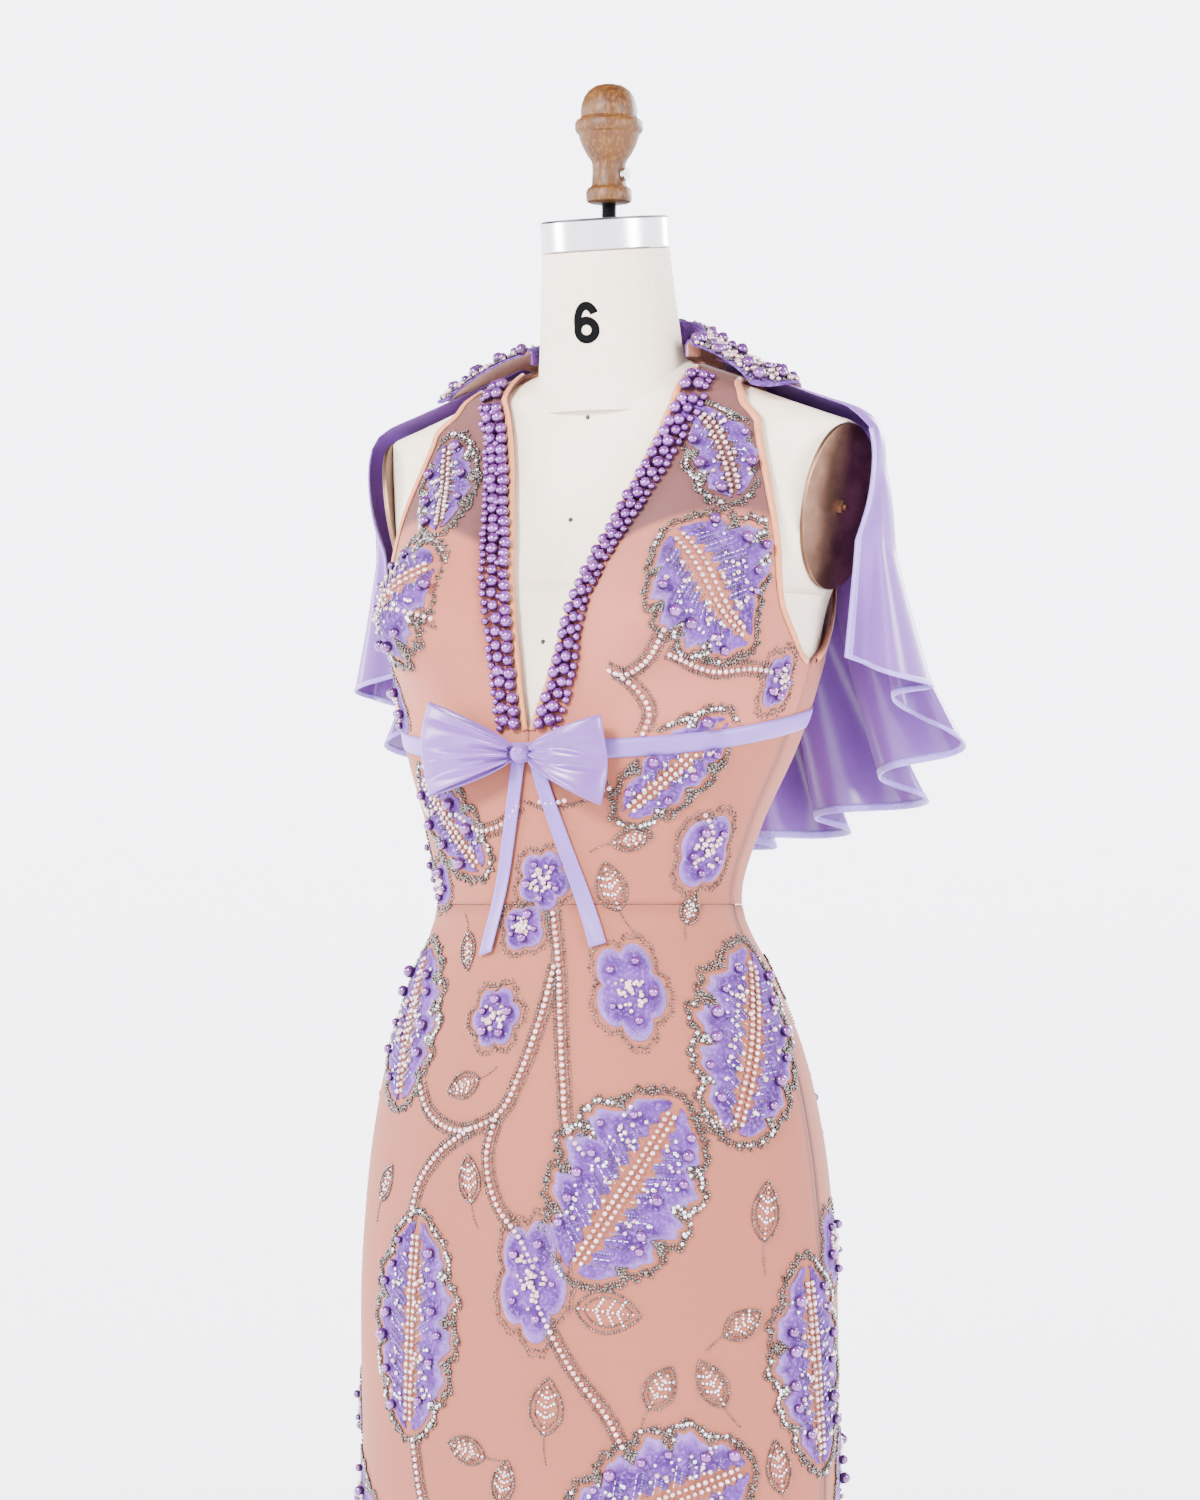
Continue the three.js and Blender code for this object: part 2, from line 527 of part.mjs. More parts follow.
// Ribbon and bow
const ribbonLow = WALL + RIBBON.lift;
const ribbonPoint = (lift) => (i, j) => {
  const eta = (360 * i) / 48;
  return over(eta, underbust(eta) + (j - 0.5) * RIBBON.width, lift);
};
const ribbon = wall(48, 1, ribbonPoint(ribbonLow + RIBBON.thick), ribbonPoint(ribbonLow), true);
add("waist_ribbon", ribbon, MATERIALS.ribbon);

// The bow's loops: reach from the knot, height at the end, how far the middle rises, and the belly
// between the two layers.
const BOW = { y: -120.4, z: 1151, knot: 15, knotHeight: 12.5, knotDepth: 13, wall: 1.1 };
const LOOPS = [
  { name: "bow_loop_right", side: -1, reach: 70, height: 64, rise: 4, belly: 7 },
  { name: "bow_loop_left", side: 1, reach: 54, height: 60, rise: -5, belly: 7.5 },
];
for (const loop of LOOPS) {
  const middle = (p, q) => {
    const w = lerp(0.03, 0.97, p) * 2 * Math.PI;
    const out = (1 - Math.cos(w)) / 2;
    const half = lerp(BOW.knotHeight * 0.42, loop.height / 2, out ** 0.85);
    const pleat = 1.6 * Math.sin(q * 7) * (1 - out);
    return new THREE.Vector3(
      loop.side * (BOW.knot / 2 + 0.3 + loop.reach * out),
      BOW.y - BOW.knotDepth / 2 + loop.belly * Math.sin(w) + pleat + 5 * out * out,
      BOW.z + loop.rise * out + half * q,
    );
  };
  add(loop.name, thin(12, 4, (u, v) => middle(u, 2 * v - 1), BOW.wall), MATERIALS.satin);
}

// A thin wall about a surface given at 0..1 twice.
function thin(ni, nj, surface, thick, rows = null) {
  const e = 1e-3;
  const normal = (u, v) => {
    const du = surface(Math.min(1, u + e), v).sub(surface(Math.max(0, u - e), v));
    const dv = surface(u, Math.min(1, v + e)).sub(surface(u, Math.max(0, v - e)));
    return du.cross(dv).normalize();
  };
  const row = (j) => (rows ? rows[j] : j / nj);
  const point = (way) => (i, j) => {
    const middle = surface(i / ni, row(j));
    return middle.addScaledVector(normal(i / ni, row(j)), (way * thick) / 2);
  };
  return wall(ni, nj, point(1), point(-1));
}

const knot = new THREE.SphereGeometry(0.5, 12, 8);
knot.scale(BOW.knot, BOW.knotDepth, BOW.knotHeight);
knot.translate(0, BOW.y - BOW.knotDepth / 2 + 1, BOW.z);
add("bow_knot", geometryOf(solid(knot)), MATERIALS.satin);

// The tails: where each starts and ends across the front, and its lower end's height.
const TAILS = [
  { name: "bow_tail_right", start: -5.5, end: -31, endZ: 1016 },
  { name: "bow_tail_left", start: 6.5, end: 49, endZ: 1022 },
];
for (const tail of TAILS) {
  const topZ = BOW.z - 1;
  const place = (u, v) => {
    const x = lerp(tail.start, tail.end, v ** 1.1) + (u - 0.5) * 10;
    const z = lerp(topZ, tail.endZ, v) + (u - 0.5) * 3 * v;
    const eta = Math.sign(x) * etaAt(x, z);
    return over(eta, z, 3.9);
  };
  add(tail.name, thin(2, 9, place, 1), MATERIALS.satin);
}

// Collar
// Height of the shoulders over a point of the plan, and the way out there.
function topOf(x, y) {
  let [low, high] = [1250, 1447];
  for (let k = 0; k < 26; k += 1) {
    const z = (low + high) / 2;
    const s = section(z);
    const depth = y < s.cy ? s.bf : s.bb;
    const inside = Math.abs(x / s.a) ** s.n + Math.abs((y - s.cy) / depth) ** s.n < 1;
    if (inside) low = z;
    else high = z;
  }
  return low;
}
function onShoulder(x, y, lift) {
  const d = 1.5;
  const normal = new THREE.Vector3(
    (topOf(x - d, y) - topOf(x + d, y)) / (2 * d),
    (topOf(x, y - d) - topOf(x, y + d)) / (2 * d),
    1,
  ).normalize();
  return new THREE.Vector3(x, y, topOf(x, y)).addScaledVector(normal, lift);
}

// The collar from the foot of its stand (v 0) over the fold to its edge (v 1), with u from its right
// end round the back.
const COLLAR_EDGE = [
  { bearing: 0, out: 96, fold: 1460, foot: 1444.5 },
  { bearing: 45, out: 108, fold: 1452, foot: 1437 },
  { bearing: 75, out: 128, fold: 1441, foot: 1427.5 },
  { bearing: 100, out: 142, fold: 1435, foot: 1425 },
];
function collarPoint(u, v) {
  const bearing = (2 * u - 1) * COLLAR.reach;
  const b = Math.abs(bearing);
  const [sn, cs] = [Math.sin(rad(bearing)), Math.cos(rad(bearing))];
  const at = (rx, ry) => [rx * sn, 8 + ry * cs];
  const foldZ = along(COLLAR_EDGE, "bearing", "fold", b);
  const footZ = along(COLLAR_EDGE, "bearing", "foot", b);
  if (v < 0.25) return new THREE.Vector3(...at(61, 51.5), lerp(footZ, foldZ - 2.5, v / 0.25));
  if (v < 0.4) {
    const t = (v - 0.25) / 0.15;
    const rise = 3.2 * Math.sin(Math.PI * clamp(t, 0, 1));
    return new THREE.Vector3(...at(lerp(61, 66.5, t), lerp(51.5, 57, t)), foldZ - 2.5 + rise);
  }
  const t = (v - 0.4) / 0.6;
  const out = along(COLLAR_EDGE, "bearing", "out", b);
  const [x0, y0] = at(66.5, 57);
  const [x1, y1] = [out * sn, 8 + out * cs * 0.93];
  const [x, y] = [lerp(x0, x1, t), lerp(y0, y1, t)];
  const rest = onShoulder(x, y, 9.4);
  const start = foldZ - 2.5;
  return rest.lerp(new THREE.Vector3(x, y, start), (1 - t) ** 2.2);
}
add("collar", thin(COLLAR.columns, COLLAR.rows, collarPoint, COLLAR.wall), MATERIALS.velvet);

// Cape
// How far the figure reaches from the cape's centre on a bearing from centre back.
function reachOf(bearing, z) {
  const s = section(z);
  let [low, high] = [0, 260];
  for (let k = 0; k < 22; k += 1) {
    const r = (low + high) / 2;
    const [x, y] = [r * Math.sin(rad(bearing)), CAPE.centreY + r * Math.cos(rad(bearing))];
    if (Math.abs(x / s.a) ** s.n + Math.abs((y - s.cy) / (y < s.cy ? s.bf : s.bb)) ** s.n < 1) low = r;
    else high = r;
  }
  return low;
}
function capePoint(u, v) {
  const s = 2 * u - 1;
  const share = 1.25 * Math.abs(s) - 0.25 * s * s;
  const bearing = CAPE.spread * share;
  const wave = (1 + Math.cos(2 * Math.PI * CAPE.flutes * (Math.abs(s) - 0.1))) / 2;
  const line = {};
  for (const column of ["neck", "dropZ", "hem", "hemZ", "flute"]) {
    line[column] = along(CAPE_LINES, "bearing", column, bearing);
  }
  const way = Math.sign(s) || 1;
  const leave = 0.3;
  const at = (radius, turn = 0) => {
    const w = rad(bearing + turn);
    return [way * radius * Math.sin(w), CAPE.centreY + radius * Math.cos(w)];
  };
  const drop = reachOf(bearing, line.dropZ) - 1;
  if (v <= leave) return onShoulder(...at(lerp(line.neck, drop, v / leave)), CAPE.lift);
  const t = (v - leave) / (1 - leave);
  const from = onShoulder(...at(drop), CAPE.lift);
  const growth = t ** 1.15;
  const cone = lerp(Math.hypot(from.x, from.y - CAPE.centreY), line.hem, t ** 1.3);
  const shoulderRoll = 7 * Math.sin(Math.PI * Math.min(1, 2.2 * t)) * (1 - t);
  const radius = cone + 2 * line.flute * wave * growth + shoulderRoll;
  const z = lerp(from.z, line.hemZ + 5 * (1 - wave), t ** 0.92);
  const sway = 3.2 * growth * Math.sin(4 * Math.PI * CAPE.flutes * (Math.abs(s) - 0.1));
  const [x, y] = at(Math.max(radius, reachOf(bearing + sway, z) + CAPE.margin), sway);
  return new THREE.Vector3(x, y, z);
}
add("cape", thin(CAPE.columns, CAPE_ROWS.length - 1, capePoint, CAPE.wall, CAPE_ROWS), MATERIALS.satin);

// Velvet leaves
for (const leaf of LEAVES) {
  const [sn, cs] = [Math.sin(rad(leaf.turn)), Math.cos(rad(leaf.turn))];
  const stations = LEAF_LOBES.length - 1;
  const place = (u, v) => {
    const l = (v - 0.5) * leaf.length;
    const w = (2 * u - 1) * (leaf.width / 2) * LEAF_LOBES[Math.round(v * stations)];
    const z = leaf.z + l * cs - w * sn;
    const per = figure(leaf.e + 1, z).distanceTo(figure(leaf.e - 1, z)) / 2;
    return [leaf.e + (l * sn + w * cs) / per, z];
  };
  add(leaf.name, panel(LEAF.cells, stations, place, WALL + leaf.lift, LEAF.thick), MATERIALS.velvet);
}

export default part;
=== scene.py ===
"""A halter-neck evening dress with beaded leaf embroidery and a satin cape, on a limbless dress form.

Laid out as an add-on: sizes and colours are properties, each group of pieces has an operator.
Shapes are worked out in millimetres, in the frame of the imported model, and made in metres.
"""

import math

import bmesh
import bpy
import numpy as np
from bpy.props import FloatProperty, FloatVectorProperty, IntProperty, PointerProperty
from mathutils import Matrix, Vector


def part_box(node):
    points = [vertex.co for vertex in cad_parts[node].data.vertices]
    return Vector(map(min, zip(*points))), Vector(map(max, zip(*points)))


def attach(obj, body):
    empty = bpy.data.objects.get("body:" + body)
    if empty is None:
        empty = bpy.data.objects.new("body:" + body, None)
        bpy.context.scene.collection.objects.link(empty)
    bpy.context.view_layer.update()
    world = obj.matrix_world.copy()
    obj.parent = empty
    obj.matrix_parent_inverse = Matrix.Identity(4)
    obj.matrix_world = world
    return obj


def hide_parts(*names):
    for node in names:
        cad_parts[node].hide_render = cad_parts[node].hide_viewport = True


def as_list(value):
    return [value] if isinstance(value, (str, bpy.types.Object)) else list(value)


bl_info = {
    "name": "Cape evening dress",
    "version": (1, 0, 0),
    "blender": (4, 5, 0),
    "location": "View3D > Sidebar > Dress",
    "description": "Dresses a form in a beaded halter dress with a satin cape",
    "category": "Object",
}

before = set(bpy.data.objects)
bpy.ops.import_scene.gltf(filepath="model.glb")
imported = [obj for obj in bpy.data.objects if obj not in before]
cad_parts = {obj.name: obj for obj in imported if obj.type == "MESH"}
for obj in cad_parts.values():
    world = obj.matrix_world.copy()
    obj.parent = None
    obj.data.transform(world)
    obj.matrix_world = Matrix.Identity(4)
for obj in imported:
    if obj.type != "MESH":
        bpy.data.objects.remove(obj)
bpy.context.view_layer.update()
MM = 0.001
SEED = 6

# Level sections of the figure: height, centre line, half width, depth before and behind it, roundness.
SECTIONS = np.array([
    (20, -18, 186, 148, 150, 2), (250, -18, 170, 123, 130, 2), (450, -18, 165, 115, 124, 2),
    (640, -18, 171, 114, 126, 2), (777, -20, 172, 116, 130, 2), (846, -20, 167.5, 116, 128, 2),
    (895, -20, 161, 114, 124, 2), (950, -21, 148.5, 108, 112, 2), (998, -24, 130, 96, 98, 2),
    (1050, -29, 108.5, 82, 80, 2), (1101, -24, 119, 88, 88, 2), (1160, -14, 141, 100, 110, 2),
    (1215, -2, 154, 99, 118, 2), (1253, 4, 159, 92, 118, 2), (1295, 12, 175, 78, 112, 2),
    (1322, 15, 185, 70, 104, 2), (1350, 16, 190, 60, 92, 1.9), (1370, 16, 189, 53, 80, 1.8),
    (1379, 15, 183, 50, 74, 1.75), (1390, 14, 152, 48, 67, 1.7), (1400, 13, 124, 49, 60, 1.7),
    (1409, 13, 99, 42, 53, 1.7), (1421, 17, 66, 33, 44, 1.7), (1436, 28, 38, 24, 27, 1.8),
    (1447, 36, 14, 12, 15, 2),
])
# The V edge: height, distance from centre front. It starts at V_LOW_Z.
V_LOW_Z = 1165
V_EDGE = np.array([(V_LOW_Z, 0.3), (1198, 9), (1247, 19), (1300, 34), (1365, 54), (1400, 65), (1421, 66)])
# Armhole edges: height, angle round the section.
ARM_FRONT = np.array([
    (1214, 90), (1220, 83), (1232, 77.5), (1253, 69.5), (1295, 57), (1330, 48.5), (1371, 44.5),
    (1388, 49.5), (1399, 60), (1405, 70), (1409, 90),
])
ARM_BACK = np.array([
    (1214, 90), (1222, 97), (1238, 106), (1262, 120), (1300, 137), (1345, 147), (1380, 143),
    (1396, 130), (1405, 112), (1409, 90),
])
# The cape: bearing from centre back, neck radius, height where it leaves the shoulder, hem radius in
# the hollows, hem height, half depth of the flutes.
CAPE_LINES = np.array([
    (0, 52, 1352, 112, 1087, 22), (30, 56, 1354, 130, 1096, 23), (60, 66, 1362, 178, 1132, 25),
    (80, 72, 1371, 194, 1188, 22), (93, 74, 1372, 176, 1212, 8),
])
# The collar: bearing from centre back, reach of its edge, height of the fold, height of its foot.
COLLAR_LINES = np.array(
    [(0, 96, 1460, 1444.5), (45, 108, 1452, 1437), (75, 128, 1441, 1427.5), (100, 142, 1435, 1425)]
)
# Wall of the panels, gap at a seam, how far the form lies under the inside of the panels.
WALL, SEAM, SKIN = 1.4, 0.4, 3.6
# Below SHOWN_Z, and behind, the embroidery is a little coarser.
SHOWN_Z = 600
TOP_Z = 1447
WAIST_Z, HEM_Z, FORM_Z, UNDERBUST_Z, RISE = 1050, 20, 790, 1152, 20
SHOULDER_OUT_Z, SHOULDER_IN_Z, BACK_NECK_Z, ARM_Z = 1409, 1421, 1440, 1214
# The cape: lift over the shoulders, middle of its plan, bearing of its front edges, flutes on each side,
# least distance from the figure.
CAPE_LIFT, CAPE_MID, CAPE_SPREAD, CAPE_FLUTES, CAPE_MARGIN = 6.4, 18, 93, 5, 9
# The arm plates, the neck as a tapering column, the tilt of its cap, and the angle of a sharp crease.
PLATE = {"x": 167, "y": 14, "z": 1320, "high": 57, "wide": 40, "thick": 3, "yaw": 11, "lean": 10}
NECK = {"low": 1388, "high": 1500, "low_a": 57, "low_b": 45, "low_y": 8.5, "high_r": 44, "high_y": -4.5}
CAP_TILT = 7
SHARP = 35
THREAD_TURNS = 9
# Turned profiles, as radius and height from their foot.
CAP_PROFILE = [(0, 0), (43.6, 0), (44.5, 1), (44.5, 20.4), (43.2, 21.9), (40, 22.2), (0, 22.2)]
KNOB_PROFILE = [
    (0, 0), (13.4, 0), (15.2, 0.8), (15.8, 3), (15.8, 8), (14.6, 10), (12.6, 11), (11.9, 13), (11.5, 20),
    (11.6, 27), (12.6, 29.6), (14, 31.4), (16.2, 35), (18.6, 39.6), (20.2, 44), (21.2, 47.6), (22.6, 48.6),
    (23.5, 50.6), (23.5, 55), (22.4, 57), (20.4, 57.8), (19.4, 59.4), (19.6, 63), (19, 68), (17.2, 73),
    (14.2, 77.4), (9.6, 80.6), (4.6, 81.8), (0, 82),
]
# The printed numeral: how far it sits off centre, the foot of its bowl, the width of its stroke.
NUMERAL = {"x": 5, "z": 1433.5, "stroke": 5.8}
# The seam across the form's bust: height, half width, reach to each side, how dark it shows.
BUST_SEAM = {"z": 1264, "half": 3.2, "reach": 130, "shade": 0.22}
PIN_HEIGHTS = (1396, 1384, 1313, 1228)
RIBBON_WIDE, TAIL_WIDE, TAIL_Z = 13, 10, 1150
# Where the V binding starts, and where every binding ends, as shares of its edge.
V_START, BINDING_END = 0.055, 0.985
KNOT_Y, KNOT_Z = -126.9, 1151
# Columns of large pearls beside the V: distance from its edge, pitch, share of the pearl radius, start
# in pitches, height of the middles off the cloth in radii. The last column lies on top of the others.
PEARL_COLUMNS = (
    (6.8, 8.9, 1, 0.3, 0.95), (14.6, 8.9, 0.96, 0.8, 0.95), (20.2, 6.3, 0.64, 0.5, 0.95),
    (10.8, 26.0, 0.5, 0.56, 2.6),
)
# Rows of seeds round a leaf: distance from its edge, swing to each side, pitch, radius.
BORDER = ((3.4, 0.5, 2.3, 1.05), (5.4, 1.3, 2.15, 1.15), (7.2, 2.0, 2.3, 1.15))
HIDDEN_BORDER = ((3.9, 0.6, 2.7, 1.15), (6.2, 1.6, 2.7, 1.25))
VELVET_CELLS, HIDDEN_CELLS = (7, 58), (6, 44)
# Beads of the collar: kind, count, radius.
COLLAR_BEADS = (("seed", 4300, 1.15), ("small", 900, 1.9), ("pearl", 170, 3.8))
# The stage: floor profile in metres, lights as bearing, height, distance, size and share of the key.
FLOOR = ((0, 0), (4, 0), (7, 0), (8, 0.13), (8.8, 0.5), (9.2, 1.1), (9.4, 2), (9.4, 4))
LIGHTS = {
    "key": (-8, 2.7, 2.6, 0.8, 1.0), "fill": (78, 2.0, 2.7, 1.2, 0.5),
    "side": (-62, 1.8, 2.7, 1.1, 0.34), "rim": (165, 2.3, 2.6, 1.2, 0.4),
}
SENSOR, CAMERA_Z, CAMERA_RISE, CAMERA_ASIDE, LIT_Z = 24, 1.05, 0.103, -0.0062, 1.15


# The figure
def read(table, column, at):
    """A column of a table, read smoothly at any value of its first column."""
    key, value = table[:, 0], table[:, column]
    at = np.clip(np.asarray(at, float), key[0], key[-1])
    i = np.clip(np.searchsorted(key, at, side="left") - 1, 0, len(key) - 2)
    slope = np.empty(len(key))
    slope[1:-1] = (value[2:] - value[:-2]) / (key[2:] - key[:-2])
    slope[0] = (value[1] - value[0]) / (key[1] - key[0])
    slope[-1] = (value[-1] - value[-2]) / (key[-1] - key[-2])
    h = key[i + 1] - key[i]
    t = (at - key[i]) / h
    return (
        (2 * t**3 - 3 * t**2 + 1) * value[i] + (t**3 - 2 * t**2 + t) * h * slope[i]
        + (3 * t**2 - 2 * t**3) * value[i + 1] + (t**3 - t**2) * h * slope[i + 1]
    )


def figure(eta, z):
    """Points of the figure: eta in degrees round its section, 0 at centre front, 90 at the wearer's left."""
    eta, z = np.broadcast_arrays(np.asarray(eta, float), np.asarray(z, float))
    cy, a, bf, bb, n = (read(SECTIONS, k, z) for k in range(1, 6))
    sn, cs = np.sin(np.radians(eta)), np.cos(np.radians(eta))
    power = 2 / n
    x = a * np.sign(sn) * np.abs(sn) ** power
    y = cy - np.where(cs > 0, bf, bb) * np.sign(cs) * np.abs(cs) ** power
    u = (np.abs(x) - 84) / np.where(np.abs(x) > 84, 48, 43)
    v = (z - 1250) / np.where(z > 1250, 60, 44)
    swell = np.where(cs > 0, 58 * np.exp(-u * u - v * v) * (1 - (1 - cs) ** 4), 0)
    return np.stack([x + 0.2 * swell * np.sign(x), y - swell, z], -1)


def unit(v):
    """Vectors of length 1."""
    return v / np.maximum(np.linalg.norm(v, axis=-1, keepdims=True), 1e-9)


def outward(eta, z):
    """The way out of the figure at eta and z."""
    around = figure(np.asarray(eta) + 0.6, z) - figure(np.asarray(eta) - 0.6, z)
    up = figure(eta, np.asarray(z) + 0.8) - figure(eta, np.asarray(z) - 0.8)
    return unit(np.cross(around, up))


def over(eta, z, lift):
    """Points that stand lift off the figure."""
    return figure(eta, z) + outward(eta, z) * np.asarray(lift)[..., None]


def eta_at(x, z):
    """The angle at which the section at height z reaches x, in front."""
    share = np.clip(np.abs(x) / read(SECTIONS, 2, z), 0, 1) ** (read(SECTIONS, 5, z) / 2)
    return np.degrees(np.arcsin(share))


def underbust(eta):
    """Height of the underbust seam, which dips in front."""
    return UNDERBUST_Z + RISE * (1 - np.cos(np.radians(eta)))


def mix(a, b, t):
    """A value that runs from a to b as t runs from 0 to 1."""
    return a + (b - a) * t


def ease(t):
    """A smooth step from 0 to 1."""
    t = np.clip(t, 0, 1)
    return t * t * (3 - 2 * t)


# Edges and panels, as eta and z at 0 to 1
def side_gap(z):
    """Half the gap of a side seam, as an angle."""
    return np.degrees(SEAM / 2 / read(SECTIONS, 2, z))


def v_edge(t):
    z = mix(UNDERBUST_Z + SEAM / 2, SHOULDER_IN_Z, np.asarray(t, float))
    x = np.interp(np.maximum(z, V_LOW_Z), V_EDGE[:, 0], V_EDGE[:, 1])
    return np.clip(eta_at(x, z), 0.12, 88.8), z


def arm_edge(table, way, low, split):
    """An armhole edge with the side seam below it: way is 1 in front and -1 at the back."""
    def edge(t):
        t = np.asarray(t, float)
        z = np.where(
            t < split, mix(low, ARM_Z, t / split), mix(ARM_Z, SHOULDER_OUT_Z, (t - split) / (1 - split))
        )
        eta = read(table, 1, z)
        eta = np.minimum(eta, 88.8) if way > 0 else np.maximum(eta, 91.2)
        return np.where(t < split, 90 - way * side_gap(1190), eta), z

    return edge


FRONT_SPLIT, BACK_SPLIT, NECK_SHARE = 0.16, 0.42, 0.25
front_arm = arm_edge(ARM_FRONT, 1, underbust(90) + SEAM / 2, FRONT_SPLIT)
back_arm = arm_edge(ARM_BACK, -1, WAIST_Z + SEAM / 2, BACK_SPLIT)


def cup_bottom(u):
    eta = mix(0.12, 90 - side_gap(1170), u)
    return eta, underbust(eta) + SEAM / 2


def shoulder_seam(u):
    return 88.8 + 0 * u, mix(SHOULDER_IN_Z, SHOULDER_OUT_Z, u)


def centre_back(t):
    return 179.87 + 0 * t, mix(WAIST_Z + SEAM / 2, BACK_NECK_Z, t)


def back_bottom(u):
    return mix(90 + side_gap(1050), 179.87, u), WAIST_Z + SEAM / 2 + 0 * u


def back_neck(u):
    w = np.clip((u - NECK_SHARE) / (1 - NECK_SHARE), 0, 1)
    strap = mix(SHOULDER_OUT_Z, SHOULDER_IN_Z, np.minimum(u / NECK_SHARE, 1))
    return mix(91.2, 179.87, w), np.where(u < NECK_SHARE, strap, mix(SHOULDER_IN_Z, BACK_NECK_Z, ease(w)))


def patch(left, right, bottom, top):
    """Fills the space between four edges: a function of u and v that gives eta and z."""
    def place(u, v):
        out = []
        for k in (0, 1):
            lower = [side(np.array(0.0))[k] for side in (left, right)]
            upper = [side(np.array(1.0))[k] for side in (left, right)]
            corners = mix(mix(*lower, u), mix(*upper, u), v)
            out.append(mix(left(v)[k], right(v)[k], u) + mix(bottom(u)[k], top(u)[k], v) - corners)
        return out

    return place


cup = patch(v_edge, front_arm, cup_bottom, shoulder_seam)
back = patch(back_arm, centre_back, back_bottom, back_neck)


def top_of(x, y):
    """Height of the shoulders over points of the plan."""
    low, high = np.full(np.shape(x), 1250.0), np.full(np.shape(x), float(TOP_Z))
    for _ in range(24):
        z = (low + high) / 2
        inside = within(x, y, z)
        low, high = np.where(inside, z, low), np.where(inside, high, z)
    return low


def within(x, y, z):
    """Whether points lie inside the figure's sections."""
    cy, a, bf, bb, n = (read(SECTIONS, k, z) for k in range(1, 6))
    return np.abs(x / a) ** n + np.abs((y - cy) / np.where(y < cy, bf, bb)) ** n < 1


def on_shoulder(x, y, lift):
    """Points that stand lift off the shoulders, over points of the plan."""
    d = 1.5
    nx = (top_of(x - d, y) - top_of(x + d, y)) / (2 * d)
    ny = (top_of(x, y - d) - top_of(x, y + d)) / (2 * d)
    normal = unit(np.stack([nx, ny, np.ones_like(nx)], -1))
    return np.stack([x, y, top_of(x, y)], -1) + normal * lift


def reach_of(bearing, z):
    """Distance from the cape's axis to the figure's surface, along a bearing at height z."""
    low, high = np.zeros(np.shape(z)), np.full(np.shape(z), 260.0)
    for _ in range(20):
        r = (low + high) / 2
        inside = within(r * np.sin(np.radians(bearing)), CAPE_MID + r * np.cos(np.radians(bearing)), z)
        low, high = np.where(inside, r, low), np.where(inside, high, r)
    return low


def cape_point(u, v):
    """The cape from its neck (v 0) to its hem (v 1), u from the right front edge round the back."""
    s = 2 * u - 1
    way = np.where(s < 0, -1.0, 1.0)
    share = 1.25 * np.abs(s) - 0.25 * s * s
    bearing = CAPE_SPREAD * share
    phase = 2 * np.pi * CAPE_FLUTES * (np.abs(s) - 0.1)
    wave = (1 + np.cos(phase)) / 2
    neck, drop_z, hem, hem_z, flute = (read(CAPE_LINES, k, bearing) for k in range(1, 6))
    leave = 0.3
    drop = reach_of(bearing, drop_z) - 1

    def at(radius, turn):
        w = np.radians(bearing + turn)
        return way * radius * np.sin(w), CAPE_MID + radius * np.cos(w)

    lying = on_shoulder(*at(mix(neck, drop, np.minimum(v / leave, 1)), 0), CAPE_LIFT)
    start = on_shoulder(*at(drop, 0), CAPE_LIFT)
    t = np.clip((v - leave) / (1 - leave), 0, 1)
    growth = t**1.15
    radius = (
        mix(np.hypot(start[..., 0], start[..., 1] - CAPE_MID), hem, t**1.3) + 2 * flute * wave * growth
        + 7 * np.sin(np.pi * np.minimum(1, 2.2 * t)) * (1 - t)
    )
    z = mix(start[..., 2], hem_z + 5 * (1 - wave), t**0.92)
    sway = 3.2 * growth * np.sin(2 * phase)
    x, y = at(np.maximum(radius, reach_of(bearing + sway, z) + CAPE_MARGIN), sway)
    hanging = np.stack([x, y, z], -1)
    return np.where((v <= leave)[..., None], lying, hanging)


def collar_point(u, v):
    """The collar from the foot of its stand over the fold to its edge, u from its right end round."""
    bearing = (2 * u - 1) * 100
    b = np.abs(bearing)
    sn, cs = np.sin(np.radians(bearing)), np.cos(np.radians(bearing))
    out, fold, foot = (read(COLLAR_LINES, k, b) for k in (1, 2, 3))

    def ring(rx, ry):
        return rx * sn, 8 + ry * cs

    stand = np.stack([*ring(61, 51.5), mix(foot, fold - 2.5, np.clip(v / 0.25, 0, 1))], -1)
    t = np.clip((v - 0.25) / 0.15, 0, 1)
    turn = np.stack([*ring(mix(61, 66.5, t), mix(51.5, 57, t)), fold - 2.5 + 3.2 * np.sin(np.pi * t)], -1)
    t = np.clip((v - 0.4) / 0.6, 0, 1) * (1 - 0.34 * np.clip((b - 84) / 16, 0, 1) ** 2.4)
    x0, y0 = ring(66.5, 57)
    x, y = mix(x0, out * sn, t), mix(y0, 8 + out * cs * 0.93, t)
    rest = on_shoulder(x, y, 9.4)
    high = np.stack([x, y, fold - 2.5], -1)
    fall = mix(rest, high, ((1 - t) ** 2.2)[..., None])
    v = v[..., None]
    return np.where(v < 0.25, stand, np.where(v < 0.4, turn, fall))


# Making meshes
def finish_piece(obj, slot, *nodes, smooth=True):
    """Puts a piece in the scene and hides the nodes that it stands for. Its slot is not used."""
    bpy.context.scene.collection.objects.link(obj)
    if smooth:
        obj.data.shade_smooth()
    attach(obj, "root")
    if nodes:
        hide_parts(*nodes)
    return obj


def mesh_from(bm, name, *materials):
    """A mesh of this name from a bmesh, which it frees."""
    mesh = bpy.data.meshes.new(name)
    bm.to_mesh(mesh)
    bm.free()
    for material in materials:
        mesh.materials.append(material)
    return mesh


def piece_from(bm, name, slot, material, *nodes, smooth=True, sharp=None):
    """A finished piece from a bmesh, with creases left sharp from an angle up."""
    mesh = mesh_from(bm, name, material)
    obj = finish_piece(bpy.data.objects.new(name, mesh), slot, *nodes, smooth=smooth)
    if sharp:
        mesh.set_sharp_from_angle(angle=math.radians(sharp))
    return obj


